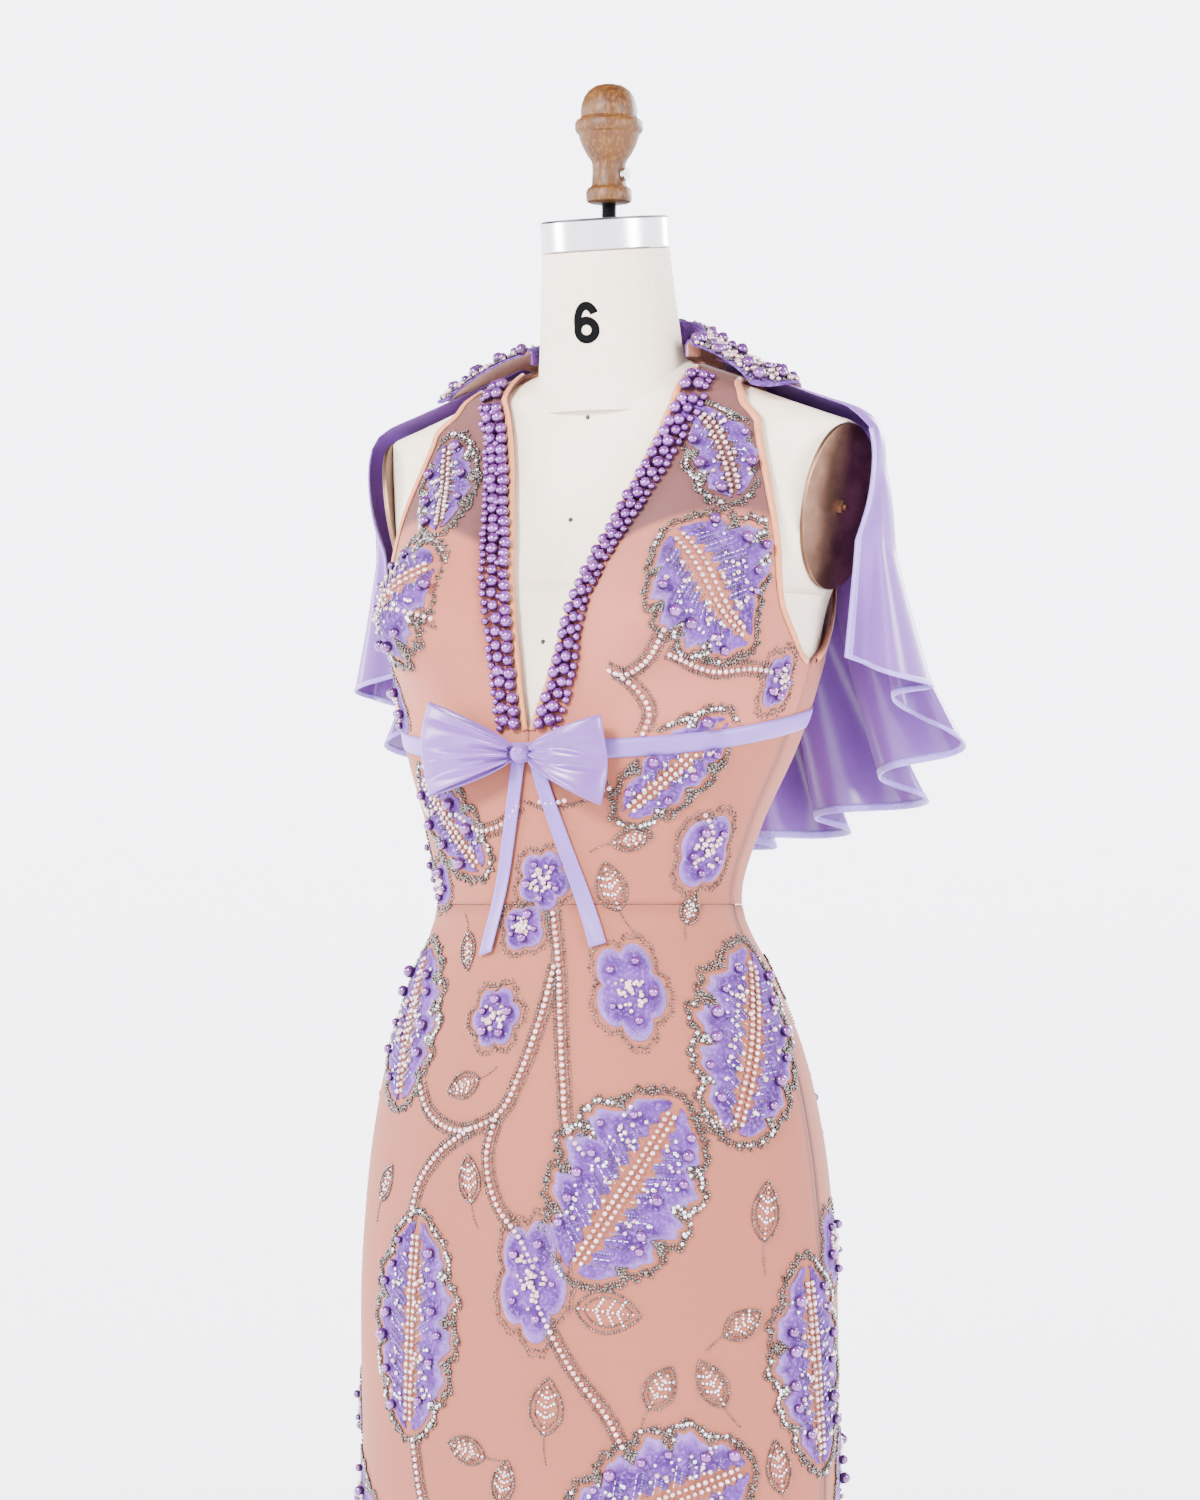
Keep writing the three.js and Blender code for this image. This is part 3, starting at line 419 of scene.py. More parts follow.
def spun(profile, steps, dist):
    """A bmesh of radius and height pairs, in metres, spun about the z axis."""
    bm = bmesh.new()
    verts = [bm.verts.new((radius, 0, height)) for radius, height in profile]
    edges = [bm.edges.new(pair) for pair in zip(verts, verts[1:])]
    bmesh.ops.spin(
        bm, geom=verts + edges, cent=(0, 0, 0), axis=(0, 0, 1), angle=2 * math.pi, steps=steps,
        use_merge=True
    )
    bmesh.ops.remove_doubles(bm, verts=bm.verts, dist=dist)
    bmesh.ops.recalc_face_normals(bm, faces=bm.faces)
    return bm


def drum(bm, sides, near, far, depth, x):
    """A drum along the x axis with its middle at x, tapered from one radius to another."""
    bmesh.ops.create_cone(
        bm, cap_ends=True, segments=sides, radius1=near * MM, radius2=far * MM, depth=depth * MM,
        matrix=Matrix.Translation((x * MM, 0, 0)) @ Matrix.Rotation(math.pi / 2, 4, "Y")
    )


def grid_into(bm, nu, nv, place, uv):
    """One grid of nu by nv cells, with its points put where place(u, v) says, in millimetres."""
    made = bmesh.ops.create_grid(bm, x_segments=nu, y_segments=nv, size=0.5)["verts"]
    flat = np.array([v.co[:2] for v in made]) + 0.5
    points = place(flat[:, 0], flat[:, 1]) * MM
    faces = {f for v in made for f in v.link_faces}
    where = {v: f for v, f in zip(made, flat)}
    for face in faces:
        for loop in face.loops:
            loop[uv].uv = where[loop.vert]
    for v, p in zip(made, points):
        v.co = p
    return made, faces, flat


def cloth(
    name, nu, nv, place, slot, materials, *nodes, thick=WALL, side=-1, closed=False, flip=False, tone=None
):
    """A sheet of cloth over a grid, given its thickness by a Solidify modifier."""
    bm = bmesh.new()
    uv = bm.loops.layers.uv.new("UVMap")
    layer = bm.verts.layers.float.new("tone")
    made, _, flat = grid_into(bm, nu, nv, place, uv)
    if tone is not None:
        for v, value in zip(made, tone(flat[:, 0], flat[:, 1])):
            v[layer] = value
    if closed:
        bmesh.ops.remove_doubles(bm, verts=bm.verts, dist=1e-5)
    if flip:
        bmesh.ops.reverse_faces(bm, faces=bm.faces)
    obj = bpy.data.objects.new(name, mesh_from(bm, name, *materials))
    wall = obj.modifiers.new("wall", "SOLIDIFY")
    wall.thickness = thick * MM
    wall.offset = side
    wall.use_even_offset = False
    if len(materials) > 1:
        wall.material_offset = 1
    return finish_piece(obj, slot, *nodes)


def turned(name, profile, steps, slot, material, *nodes, middle=(0, 0, 0), tilt=0.0):
    """A turned piece: radius and height pairs spun about its axis."""
    bm = spun([(radius * MM, height * MM) for radius, height in profile], steps, 1e-6)
    place = Matrix.Translation(Vector(middle) * MM) @ Matrix.Rotation(math.radians(tilt), 4, "X")
    bmesh.ops.transform(bm, matrix=place, verts=bm.verts)
    return piece_from(bm, name, slot, material, *nodes, sharp=SHARP)


def bead_shape(kind):
    """Points and faces of one bead of radius 1."""
    bm = bmesh.new()
    if kind == "pearl":
        bmesh.ops.create_icosphere(bm, subdivisions=2, radius=1)
    elif kind == "small":
        bmesh.ops.create_icosphere(bm, subdivisions=1, radius=1)
    elif kind == "seed":
        bmesh.ops.create_uvsphere(bm, u_segments=4, v_segments=2, radius=1)
    elif kind == "bugle":
        bmesh.ops.create_cone(
            bm, cap_ends=True, segments=4, radius1=0.5, radius2=0.5, depth=3.2,
            matrix=Matrix.Rotation(math.pi / 2, 4, "X")
        )
    else:
        bmesh.ops.create_cone(bm, cap_ends=True, segments=6, radius1=1, radius2=0.72, depth=0.28)
    bmesh.ops.triangulate(bm, faces=bm.faces)
    bm.verts.index_update()
    points = np.array([v.co[:] for v in bm.verts])
    faces = np.array([[v.index for v in f.verts] for f in bm.faces])
    bm.free()
    return points, faces


class Beads:
    """Gathers beads of one kind, and makes them as one joined mesh."""

    def __init__(self):
        self.at, self.size, self.normal, self.along = [], [], [], []

    def add(self, points, radius, normals, along=None):
        points = np.atleast_2d(points)
        self.at.append(points)
        self.size.append(np.broadcast_to(np.asarray(radius, float), len(points)))
        self.normal.append(np.broadcast_to(np.atleast_2d(normals), points.shape))
        self.along.append(
            np.atleast_2d(along) if along is not None else np.tile((0.0, 0.0, 1.0), (len(points), 1))
        )

    def between(self, low, high):
        """The beads whose height lies between two heights."""
        chosen = Beads()
        for at, size, normal, along in zip(self.at, self.size, self.normal, self.along):
            keep = (at[:, 2] >= low) & (at[:, 2] < high)
            chosen.add(at[keep], size[keep], normal[keep], along[keep])
        return chosen

    def make(self, name, kind, slot, material, *nodes, rng=None, smooth=True):
        at, size = np.concatenate(self.at), np.concatenate(self.size)
        up = unit(np.concatenate(self.normal))
        ahead = np.concatenate(self.along)
        ahead = unit(ahead - up * (ahead * up).sum(-1, keepdims=True) + 1e-6)
        across = np.cross(ahead, up)
        shape, faces = bead_shape(kind)
        axes = np.stack([across, ahead, up], -1)
        points = at[:, None] + np.einsum("nij,kj->nki", axes, shape) * size[:, None, None]
        tris = (faces[None] + (np.arange(len(at)) * len(shape))[:, None, None]).reshape(-1, 3)
        mesh = bpy.data.meshes.new(name)
        mesh.vertices.add(len(at) * len(shape))
        mesh.vertices.foreach_set("co", (points.reshape(-1) * MM).astype(np.float32))
        mesh.loops.add(tris.size)
        mesh.loops.foreach_set("vertex_index", tris.reshape(-1).astype(np.int32))
        mesh.polygons.add(len(tris))
        mesh.polygons.foreach_set("loop_start", np.arange(0, tris.size, 3, dtype=np.int32))
        mesh.update(calc_edges=True)
        tone = mesh.attributes.new("tone", "FLOAT", "POINT")
        tone.data.foreach_set("value", np.repeat(rng.random(len(at)), len(shape)).astype(np.float32))
        # rim is painted shade: 0 at the top of each bead, rising to 1 down its sides and at its foot.
        rim = mesh.attributes.new("rim", "FLOAT", "POINT")
        rim.data.foreach_set(
            "value", np.tile(np.clip(0.84 - shape[:, 2], 0, 1), len(at)).astype(np.float32)
        )
        mesh.materials.append(material)
        return finish_piece(bpy.data.objects.new(name, mesh), slot, *nodes, smooth=smooth)


# Materials
class Finish:
    """A material whose nodes are added one by one."""

    def __init__(self, name, **values):
        self.material = bpy.data.materials.get(name) or bpy.data.materials.new(name)
        self.material.use_nodes = True
        self.tree = self.material.node_tree
        self.tree.nodes.clear()
        self.shader = self.node("ShaderNodeBsdfPrincipled")
        out = self.node("ShaderNodeOutputMaterial")
        self.link(self.shader, "BSDF", out, "Surface")
        for key, value in values.items():
            self.shader.inputs[key.replace("_", " ")].default_value = value

    def node(self, kind, **settings):
        """A new node, with values for its inputs or its own settings."""
        node = self.tree.nodes.new(kind)
        for key, value in settings.items():
            if key in node.inputs:
                node.inputs[key].default_value = value
            else:
                setattr(node, key, value)
        return node

    def link(self, a, out, b, into):
        self.tree.links.new(a.outputs[out], b.inputs[into])

    def coords(self, scale=(1, 1, 1)):
        """Object coordinates, stretched by a scale."""
        where = self.node("ShaderNodeTexCoord")
        mapping = self.node("ShaderNodeMapping")
        mapping.inputs["Scale"].default_value = scale
        self.link(where, "Object", mapping, "Vector")
        return mapping

    def noise(self, scale, detail=3, stretch=(1, 1, 1)):
        node = self.node("ShaderNodeTexNoise", Scale=scale, Detail=detail)
        self.link(self.coords(stretch), "Vector", node, "Vector")
        return node

    def blend(self, first, second, source, out, low=0.35, high=0.65):
        """A colour that runs from first to second as source rises."""
        ramp = self.node("ShaderNodeValToRGB")
        ramp.color_ramp.elements[0].position, ramp.color_ramp.elements[1].position = low, high
        ramp.color_ramp.elements[0].color, ramp.color_ramp.elements[1].color = (*first, 1), (*second, 1)
        self.link(source, out, ramp, "Fac")
        return ramp

    def painted(self, name):
        """The values that a mesh carries under a name."""
        return self.node("ShaderNodeAttribute", attribute_name=name)

    def spotted(self, base, colour, source, low, high):
        """Base with spots of a colour where source is high."""
        return self.mixed(base, colour, self.blend((0, 0, 0), (1, 1, 1), source, "Fac", low, high), "Color")

    def mixed(self, a, b, factor, out, kind="MIX"):
        """A blend of two colours or nodes, by a number or by one output of a node."""
        node = self.node("ShaderNodeMix", data_type="RGBA", blend_type=kind)
        for source, index in ((a, 6), (b, 7)):
            if isinstance(source, bpy.types.Node):
                self.tree.links.new(self.colour_of(source), node.inputs[index])
            else:
                node.inputs[index].default_value = (*source, 1)
        if isinstance(factor, float):
            node.inputs[0].default_value = factor
        else:
            self.tree.links.new(factor.outputs[out], node.inputs[0])
        return node

    def colour_of(self, source):
        return source.outputs[2] if source.type == "MIX" else source.outputs["Color"]

    def colour(self, source):
        """Makes a node the material's colour."""
        self.tree.links.new(self.colour_of(source), self.shader.inputs["Base Color"])

    def bump(self, source, out, strength, distance=0.001):
        bump = self.node("ShaderNodeBump", Strength=strength, Distance=distance)
        self.link(source, out, bump, "Height")
        self.link(bump, "Normal", self.shader, "Normal")


def weave_group():
    """Warp and weft over a surface: Height for a bump, Shade for a slight mottling of the threads."""
    group = bpy.data.node_groups.get("dress weave")
    if group:
        return group
    group = bpy.data.node_groups.new("dress weave", "ShaderNodeTree")
    for name, kind, way in (
        ("Scale", "NodeSocketFloat", "INPUT"), ("Slub", "NodeSocketFloat", "INPUT"),
        ("Height", "NodeSocketFloat", "OUTPUT"), ("Shade", "NodeSocketFloat", "OUTPUT")
    ):
        group.interface.new_socket(name=name, in_out=way, socket_type=kind)
    n = group.nodes
    given, gives = n.new("NodeGroupInput"), n.new("NodeGroupOutput")
    where = n.new("ShaderNodeTexCoord")
    waves = []
    for direction in ("X", "Z"):
        wave = n.new("ShaderNodeTexWave")
        wave.bands_direction = direction
        wave.inputs["Distortion"].default_value = 1.5
        wave.inputs["Detail"].default_value = 1
        group.links.new(where.outputs["Object"], wave.inputs["Vector"])
        group.links.new(given.outputs["Scale"], wave.inputs["Scale"])
        waves.append(wave)
    height = n.new("ShaderNodeMath")
    height.operation = "MAXIMUM"
    for k, wave in enumerate(waves):
        group.links.new(wave.outputs["Fac"], height.inputs[k])
    slub = n.new("ShaderNodeTexNoise")
    slub.inputs["Scale"].default_value = 300
    group.links.new(where.outputs["Object"], slub.inputs["Vector"])
    shade = n.new("ShaderNodeMath")
    shade.operation = "MULTIPLY"
    group.links.new(slub.outputs["Fac"], shade.inputs[0])
    group.links.new(given.outputs["Slub"], shade.inputs[1])
    group.links.new(height.outputs[0], gives.inputs["Height"])
    group.links.new(shade.outputs[0], gives.inputs["Shade"])
    return group


def woven(finish, scale, slub, strength):
    """Gives a finish the weave's relief, and returns its node."""
    node = finish.node("ShaderNodeGroup", node_tree=weave_group())
    node.inputs["Scale"].default_value = scale
    node.inputs["Slub"].default_value = slub
    finish.bump(node, "Height", strength, 0.0004)
    return node


def linen_finish():
    f = Finish("linen", Roughness=0.88)
    broad = f.blend((0.50, 0.40, 0.30), (0.60, 0.50, 0.39), f.noise(9, 4), "Fac")
    weave = woven(f, 700, 0.7, 0.3)
    cloth = f.mixed(broad, (0.70, 0.61, 0.51), weave, "Shade")
    f.colour(f.mixed(cloth, (0.30, 0.25, 0.20), f.painted("seam"), "Fac"))
    return f.material


def tulle_finish(name, light, deep, veil):
    """Tulle over a lining: light and deep are the lining's two tones, veil the bare tulle over linen."""
    f = Finish(name, Roughness=0.8, Sheen_Weight=0.1, Sheen_Roughness=0.5, Specular_IOR_Level=0.15)
    f.shader.inputs["Sheen Tint"].default_value = (1.0, 0.86, 0.84, 1)
    broad = f.blend(deep, light, f.noise(5, 3, (1, 1, 0.35)), "Fac", 0.3, 0.7)
    veiled = f.mixed(broad, veil, f.painted("tone"), "Fac")
    net = f.node("ShaderNodeTexVoronoi", Scale=520)
    f.link(f.coords(), "Vector", net, "Vector")
    holes = f.blend((0.84, 0.82, 0.82), (1, 1, 1), net, "Distance", 0.0, 0.6)
    f.colour(f.mixed(veiled, holes, 0.35, None, "MULTIPLY"))
    f.bump(f.noise(900, 2), "Fac", 0.18, 0.0004)
    return f.material


def satin_finish(name, light, deep, rough=0.27, sheen=0.06):
    """Satin: two soft tones, with a painted sheen that makes it paler at glancing angles."""
    f = Finish(
        name, Roughness=rough, Sheen_Weight=sheen, Sheen_Roughness=0.35, Anisotropic=0.5,
        Specular_IOR_Level=0.4
    )
    f.shader.inputs["Sheen Tint"].default_value = (0.9, 0.86, 1.0, 1)
    facing = f.node("ShaderNodeLayerWeight", Blend=0.42)
    tones = f.blend(deep, light, f.noise(14, 3), "Fac", 0.25, 0.75)
    # pale is a painted sheen, mixed into the colour at glancing angles.
    pale = tuple(min(1, c * 1.3 + 0.02) for c in light)
    f.colour(f.mixed(tones, pale, facing, "Facing"))
    f.bump(f.noise(260, 3, (1, 1, 0.25)), "Fac", 0.12, 0.0006)
    return f.material


def velvet_finish():
    f = Finish("velvet", Roughness=0.9, Sheen_Weight=0.22, Sheen_Roughness=0.3, Specular_IOR_Level=0.2)
    f.shader.inputs["Sheen Tint"].default_value = (0.66, 0.5, 1.0, 1)
    crush = f.blend((0.034, 0.007, 0.085), (0.088, 0.026, 0.19), f.noise(70, 4), "Fac", 0.36, 0.66)
    fine = f.spotted(crush, (0.15, 0.062, 0.27), f.noise(420, 2), 0.5, 0.75)
    f.colour(f.mixed(fine, (0.27, 0.16, 0.42), f.painted("tone"), "Fac"))
    f.bump(f.noise(500, 3), "Fac", 0.5, 0.0008)
    return f.material


def pearl_finish(name, colours, rough=0.16, coat=0.6, metal=0.35, foot=None):
    """Pearl: two tones from bead to bead, a third at glancing angles as a painted reflection, and painted
    shade that darkens each bead towards its foot.
    """
    f = Finish(name, Roughness=rough, Metallic=metal, Coat_Weight=coat, Coat_Roughness=0.03, IOR=1.5)
    body = f.blend(colours[0], colours[1], f.painted("tone"), "Fac", 0.1, 0.9)
    facing = f.node("ShaderNodeLayerWeight", Blend=0.25)
    # Painted reflection: colours[2] is mixed in at glancing angles, darker on the purple pearls and paler on
    # the others.
    sheen = f.mixed(body, colours[2], facing, "Facing")
    # Painted shade: the foot colour, else the first tone, darkens each bead by its rim value.
    f.colour(f.mixed(sheen, foot or colours[0], f.painted("rim"), "Fac"))
    return f.material


def metal_finish(name, colour, rough, brush=(1, 1, 40), spots=None):
    f = Finish(name, Metallic=1.0, Roughness=rough)
    grain = f.noise(120, 4, brush)
    low = tuple(c * 0.82 for c in colour)
    base = f.blend(low, colour, grain, "Fac")
    if spots:
        base = f.spotted(base, spots, f.noise(45, 5), 0.45, 0.62)
    f.colour(base)
    f.bump(grain, "Fac", 0.08, 0.0003)
    return f.material


def wood_finish():
    f = Finish("wood", Roughness=0.5, Specular_IOR_Level=0.25)
    flecks = f.noise(420, 4, (1, 1, 0.5))
    broad = f.blend((0.040, 0.012, 0.0015), (0.075, 0.026, 0.004), f.noise(60, 4, (1, 1, 0.3)), "Fac")
    f.colour(f.spotted(broad, (0.125, 0.052, 0.010), flecks, 0.48, 0.72))
    f.bump(flecks, "Fac", 0.2, 0.0005)
    return f.material


def plain_finish(name, light, deep, rough, scale=300, **more):
    f = Finish(name, Roughness=rough, **more)
    grain = f.noise(scale, 3)
    f.colour(f.blend(deep, light, grain, "Fac"))
    f.bump(grain, "Fac", 0.15, 0.0004)
    return f.material


def finishes(settings):
    """Every material of the dress and the form, by name."""
    tulle, veil = tuple(settings.tulle_colour), tuple(settings.veil_colour)
    satin = tuple(settings.satin_colour)
    deep = tuple(c * 0.86 for c in tulle)
    return {
        "linen": linen_finish(),
        "tulle": tulle_finish("tulle", tulle, deep, veil),
        "mesh": tulle_finish("mesh", (0.29, 0.088, 0.058), (0.25, 0.074, 0.048), veil),
        "binding": plain_finish("binding", (0.42, 0.13, 0.038), (0.34, 0.10, 0.03), 0.55, Sheen_Weight=0.3),
        "lining": plain_finish("lining", (0.62, 0.30, 0.20), (0.55, 0.25, 0.17), 0.7, Sheen_Weight=0.2),
        "satin": satin_finish("satin", satin, tuple(c * 0.72 for c in satin)),
        "ribbon": satin_finish("ribbon", (0.152, 0.076, 0.32), (0.12, 0.056, 0.26), 0.4, 0.1),
        "hem": plain_finish("hem", (0.24, 0.15, 0.52), (0.17, 0.10, 0.42), 0.5, 600, Sheen_Weight=0.4),
        "velvet": velvet_finish(),
        # In each pearl finish, the third colour is a painted reflection at glancing angles: dark on the
        # purple pearls, pale on the rest.
        "purple": pearl_finish(
            "purple_pearl", ((0.118, 0.020, 0.172), (0.19, 0.048, 0.26), (0.050, 0.008, 0.085)),
            # (0.017, 0.002, 0.030) is painted shade at the feet of the purple pearls.
            0.2, 0.6, 0.45, (0.017, 0.002, 0.030)
        ),
        "white": pearl_finish("white_pearl", ((0.36, 0.20, 0.19), (0.58, 0.43, 0.45), (0.72, 0.60, 0.66))),
        "silver": pearl_finish(
            "silver_bead", ((0.010, 0.007, 0.006), (0.26, 0.205, 0.18), (0.28, 0.25, 0.25)), 0.22, 0.3
        ),
        "blue": pearl_finish(
            "blue_bead", ((0.07, 0.06, 0.16), (0.30, 0.30, 0.52), (0.6, 0.6, 0.8)), 0.2, 0.4
        ),
        "sequin": pearl_finish("sequin", ((0.42, 0.41, 0.46), (0.80, 0.78, 0.84), (1, 1, 1)), 0.14, 0.8),
        "steel": metal_finish("steel", (0.62, 0.62, 0.63), 0.22, (40, 40, 1)),
        "dark": metal_finish("dark_steel", (0.05, 0.05, 0.055), 0.4),
        "plate": metal_finish("plate", (0.20, 0.11, 0.07), 0.38, (1, 1, 1), (0.12, 0.065, 0.04)),
        "wood": wood_finish(),
        "print": plain_finish(
            "print", (0.0012, 0.0012, 0.0015), (0.002, 0.002, 0.0024), 0.9, Specular_IOR_Level=0.05
        ),
    }


# Embroidery
# Velvet leaves: middle as eta and z, turn of the tip from straight up, length, width.
LEAVES = [
    (46, 1262, 128, 116, 82), (-37, 1258, -118, 92, 74), (-36, 1106, -38, 84, 46), (-46, 968, -12, 108, 66),
    (71, 958, 24, 136, 74), (28, 862, 34, 136, 96), (-30, 765, 4, 146, 78), (36, 655, 70, 128, 84),
    (84, 742, -6, 138, 66), (46, 1142, 40, 84, 44), (35, 1357, 158, 76, 44), (-33.5, 1338, 156, 72, 42),
    (140, 930, 24, 132, 76), (-146, 800, -30, 132, 76), (-96, 880, 12, 124, 66), (176, 760, 160, 120, 72),
    (120, 640, -30, 128, 78), (-118, 610, 26, 128, 74), (-160, 960, 150, 96, 56), (-62, 612, -24, 118, 68),
    (2, 520, 12, 138, 80), (62, 480, -28, 128, 72), (-48, 440, 30, 132, 76), (170, 500, -20, 132, 76),
    (112, 350, 18, 128, 74), (-104, 330, -22, 128, 74), (20, 330, -36, 124, 70), (-18, 180, 26, 130, 76),
    (58, 170, 12, 124, 70), (-70, 160, -14, 124, 70), (160, 250, 30, 128, 74), (-150, 380, 14, 128, 74),
    (112, 120, -24, 118, 68), (-128, 130, 20, 118, 68), (-172, 110, -8, 118, 68),
]
# Small velvet flowers: middle, radius, petals, stretch along z.
FLOWERS = [
    (5, 1066, 19, 5, 1.1), (66, 1086, 20, 4, 1.3), (-50, 1064, 13, 4, 1.3), (-2, 1034, 16, 4, 1.0),
    (-8, 974, 19, 6, 1.1), (33, 992, 24, 5, 1.4), (5, 800, 25, 5, 1.7), (-58, 1186, 15, 4, 1.5),
    (74, 1200, 12, 4, 1.6), (-78, 1080, 16, 5, 1.2), (-78, 700, 20, 5, 1.2), (60, 560, 18, 5, 1.1),
    (150, 1066, 16, 5, 1.1), (-138, 1072, 18, 5, 1.2), (100, 820, 20, 5, 1.3), (-176, 880, 20, 5, 1.2),
    (12, 420, 20, 5, 1.2), (-88, 500, 20, 5, 1.2), (36, 250, 18, 5, 1.2), (-46, 290, 20, 5, 1.3),
    (88, 240, 18, 5, 1.2), (136, 480, 18, 5, 1.2), (-130, 240, 18, 5, 1.1), (14, 90, 18, 5, 1.1),
]
# Beaded sprig leaves: middle, turn, length, width.
SPRIGS = [
    (30, 1062, -20, 34, 20), (36, 1094, 78, 27, 15), (62, 1046, 30, 22, 13), (-16, 928, -110, 28, 17),
    (-12, 866, -8, 32, 18), (8, 716, 6, 38, 24), (-13, 684, -75, 32, 18), (-3, 664, 14, 30, 17),
    (23, 780, 96, 44, 28), (57, 772, 60, 30, 18), (35, 730, 30, 32, 20), (48, 733, -28, 34, 19),
    (66, 846, 10, 40, 20), (68, 676, -10, 36, 18), (-36, 1136, -30, 22, 12), (54, 905, 100, 28, 16),
    (-24, 1018, 160, 28, 13), (-44, 860, 30, 28, 16), (112, 1000, 20, 32, 18), (-112, 1000, -20, 32, 18),
    (160, 860, 40, 34, 20), (-92, 760, -40, 34, 20), (92, 590, 20, 34, 20), (-20, 600, -40, 34, 20),
    (24, 590, 40, 32, 18), (-172, 640, 20, 34, 20), (-160, 540, -30, 34, 20), (150, 390, 25, 34, 20),
    (-165, 250, -15, 34, 20), (164, 1006, 30, 32, 18), (-82, 400, 30, 34, 20), (84, 400, -30, 34, 20),
    (-6, 262, 60, 32, 18), (140, 700, -30, 34, 20), (-140, 700, 30, 34, 20),
]
# Vine stems, each a run of eta and z.
STEMS = [
    [(9, 1046), (11, 1015), (12, 975), (13, 930), (14, 900), (18, 884)],
    [(10, 1010), (6, 972), (1, 935), (-5, 908), (-16, 898), (-26, 908), (-32, 928)],
    [(-5, 908), (-7, 880), (-4, 850), (2, 828), (6, 806)],
    [(-12, 900), (-21, 884), (-28, 862), (-31, 834)],
    [(5, 792), (9, 768), (15, 738), (22, 712), (26, 690)],
    [(17, 1214), (26, 1204), (33, 1214), (38, 1234)],
    [(24, 1206), (30, 1194), (34, 1178), (33, 1163)],
    [(38, 1218), (50, 1206), (62, 1208), (76, 1204)],
    [(-3, 1118), (-10, 1104), (-20, 1100), (-30, 1112)],
    [(-4, 1128), (6, 1118), (16, 1122), (26, 1128)],
    [(-18, 1236), (-26, 1246), (-34, 1250)],
    [(60, 1112), (66, 1100), (68, 1086)],
    [(36, 600), (26, 570), (14, 545), (6, 520)], [(8, 470), (14, 430), (18, 390), (22, 360)],
    [(-30, 690), (-26, 640), (-14, 590), (-4, 560)], [(-48, 380), (-40, 320), (-30, 260), (-22, 230)],
    [(120, 590), (128, 540), (146, 520), (162, 510)], [(140, 870), (146, 820), (160, 790), (172, 780)],
    [(-146, 740), (-138, 680), (-126, 650)], [(62, 420), (60, 340), (56, 270), (58, 220)],
    [(-104, 270), (-98, 220), (-82, 190)],
    [(170, 440), (166, 380), (162, 310)], [(-96, 820), (-90, 780), (-80, 730), (-78, 704)],
    [(-160, 910), (-168, 870), (-176, 840)],
]


def spread(eta, z, turn, along, across):
    """Eta and z of points laid out along and across a motif, in millimetres from its middle."""
    t = math.radians(turn)
    height = z + along * math.cos(t) - across * math.sin(t)
    per = np.linalg.norm(figure(eta + 1, height) - figure(eta - 1, height), axis=-1) / 2
    return eta + (along * math.sin(t) + across * math.cos(t)) / per, height


def leaf_half(s, lobes, side):
    """Half width of a leaf along its length, with lobes that are not quite alike."""
    s = np.clip(s, 0, 1)
    swell = np.sin(np.pi * s**0.92) ** 0.62
    place = lobes * (s + 0.22 * s * (1 - s)) + 0.18 * side
    scallop = np.abs(np.sin(np.pi * place)) ** 0.6
    ripple = 0.045 * np.sin(2 * np.pi * place * 2.6 + side) + 0.05 * np.sin(5.1 * s + 2 * side)
    return swell * (0.66 + 0.34 * scallop + ripple)


def leaf_spot(s, across, length):
    """Distance along a leaf of a spot: its lobes lean towards the tip."""
    return (s - 0.5) * length + 0.16 * np.abs(across) * np.sin(np.pi * np.clip(s, 0, 1))


def leaf_outline(length, width, lobes, n=220):
    """A leaf's edge as two runs, along it and across it: up one side and down the other."""
    s = np.linspace(0.0, 1.0, n)
    sides = [side * width / 2 * leaf_half(s, lobes, side) for side in (1, -1)]
    along = [leaf_spot(s, across, length) for across in sides]
    return np.concatenate([along[0], along[1][::-1]]), np.concatenate([sides[0], sides[1][::-1]])


def pushed(along, across, distance):
    """An outline moved out by a distance, one for each point."""
    da, dw = np.gradient(along), np.gradient(across)
    size = np.maximum(np.hypot(da, dw), 1e-6)
    kernel = np.ones(5) / 5
    nx = np.convolve(np.pad(dw / size, 2, "wrap"), kernel, "valid")
    ny = np.convolve(np.pad(-da / size, 2, "wrap"), kernel, "valid")
    way = -1 if (nx * along + ny * across).sum() < 0 else 1
    return along + way * nx * distance, across + way * ny * distance


def resample(eta, z, pitch, lift=WALL):
    """Points a pitch apart along a run: eta, z, position on the cloth, way out and way ahead."""
    points = over(eta, z, lift)
    steps = np.linalg.norm(np.diff(points, axis=0), axis=1)
    arc = np.concatenate([[0], np.cumsum(steps)])
    if arc[-1] < pitch:
        return None
    at = np.arange(pitch / 2, arc[-1], pitch)
    e, h = np.interp(at, arc, eta), np.interp(at, arc, z)
    base = over(e, h, lift)
    ahead = np.gradient(base, axis=0) if len(at) > 1 else np.tile((0, 0, 1.0), (len(at), 1))
    return e, h, base, outward(e, h), ahead, at


def smooth_run(points, n=60):
    """A smooth run through a few points of eta and z."""
    p = np.array(points, float)
    key = np.concatenate([[0], np.cumsum(np.hypot(*np.diff(p, axis=0).T))])
    at = np.linspace(0, key[-1], n)
    table = np.column_stack([key, p])
    return read(table, 1, at), read(table, 2, at)


def open_cloth(eta, z):
    """Whether a spot on the cloth is bodice front, midriff, back or skirt, and not the open V or armhole."""
    e = np.abs((np.asarray(eta) + 180) % 360 - 180)
    z = np.asarray(z)
    x_v = np.interp(np.maximum(z, V_LOW_Z), V_EDGE[:, 0], V_EDGE[:, 1])
    inner = np.where(z > 1160, eta_at(x_v + 24, z), 0)
    outer = np.where(z > ARM_Z, read(ARM_FRONT, 1, z) - 3, 92)
    front = (e > inner) & (e < outer) & (z < 1398)
    tied = (np.abs(z - underbust(e)) < 8.5) | ((e < 22) & (z > 1120))
    lower = (z < 1158) | ((z < 1205) & (e > 60))
    return np.where(z > 1160, front | ((z < 1205) & (e > inner)), lower) & (z > HEM_Z + 8) & ~tied


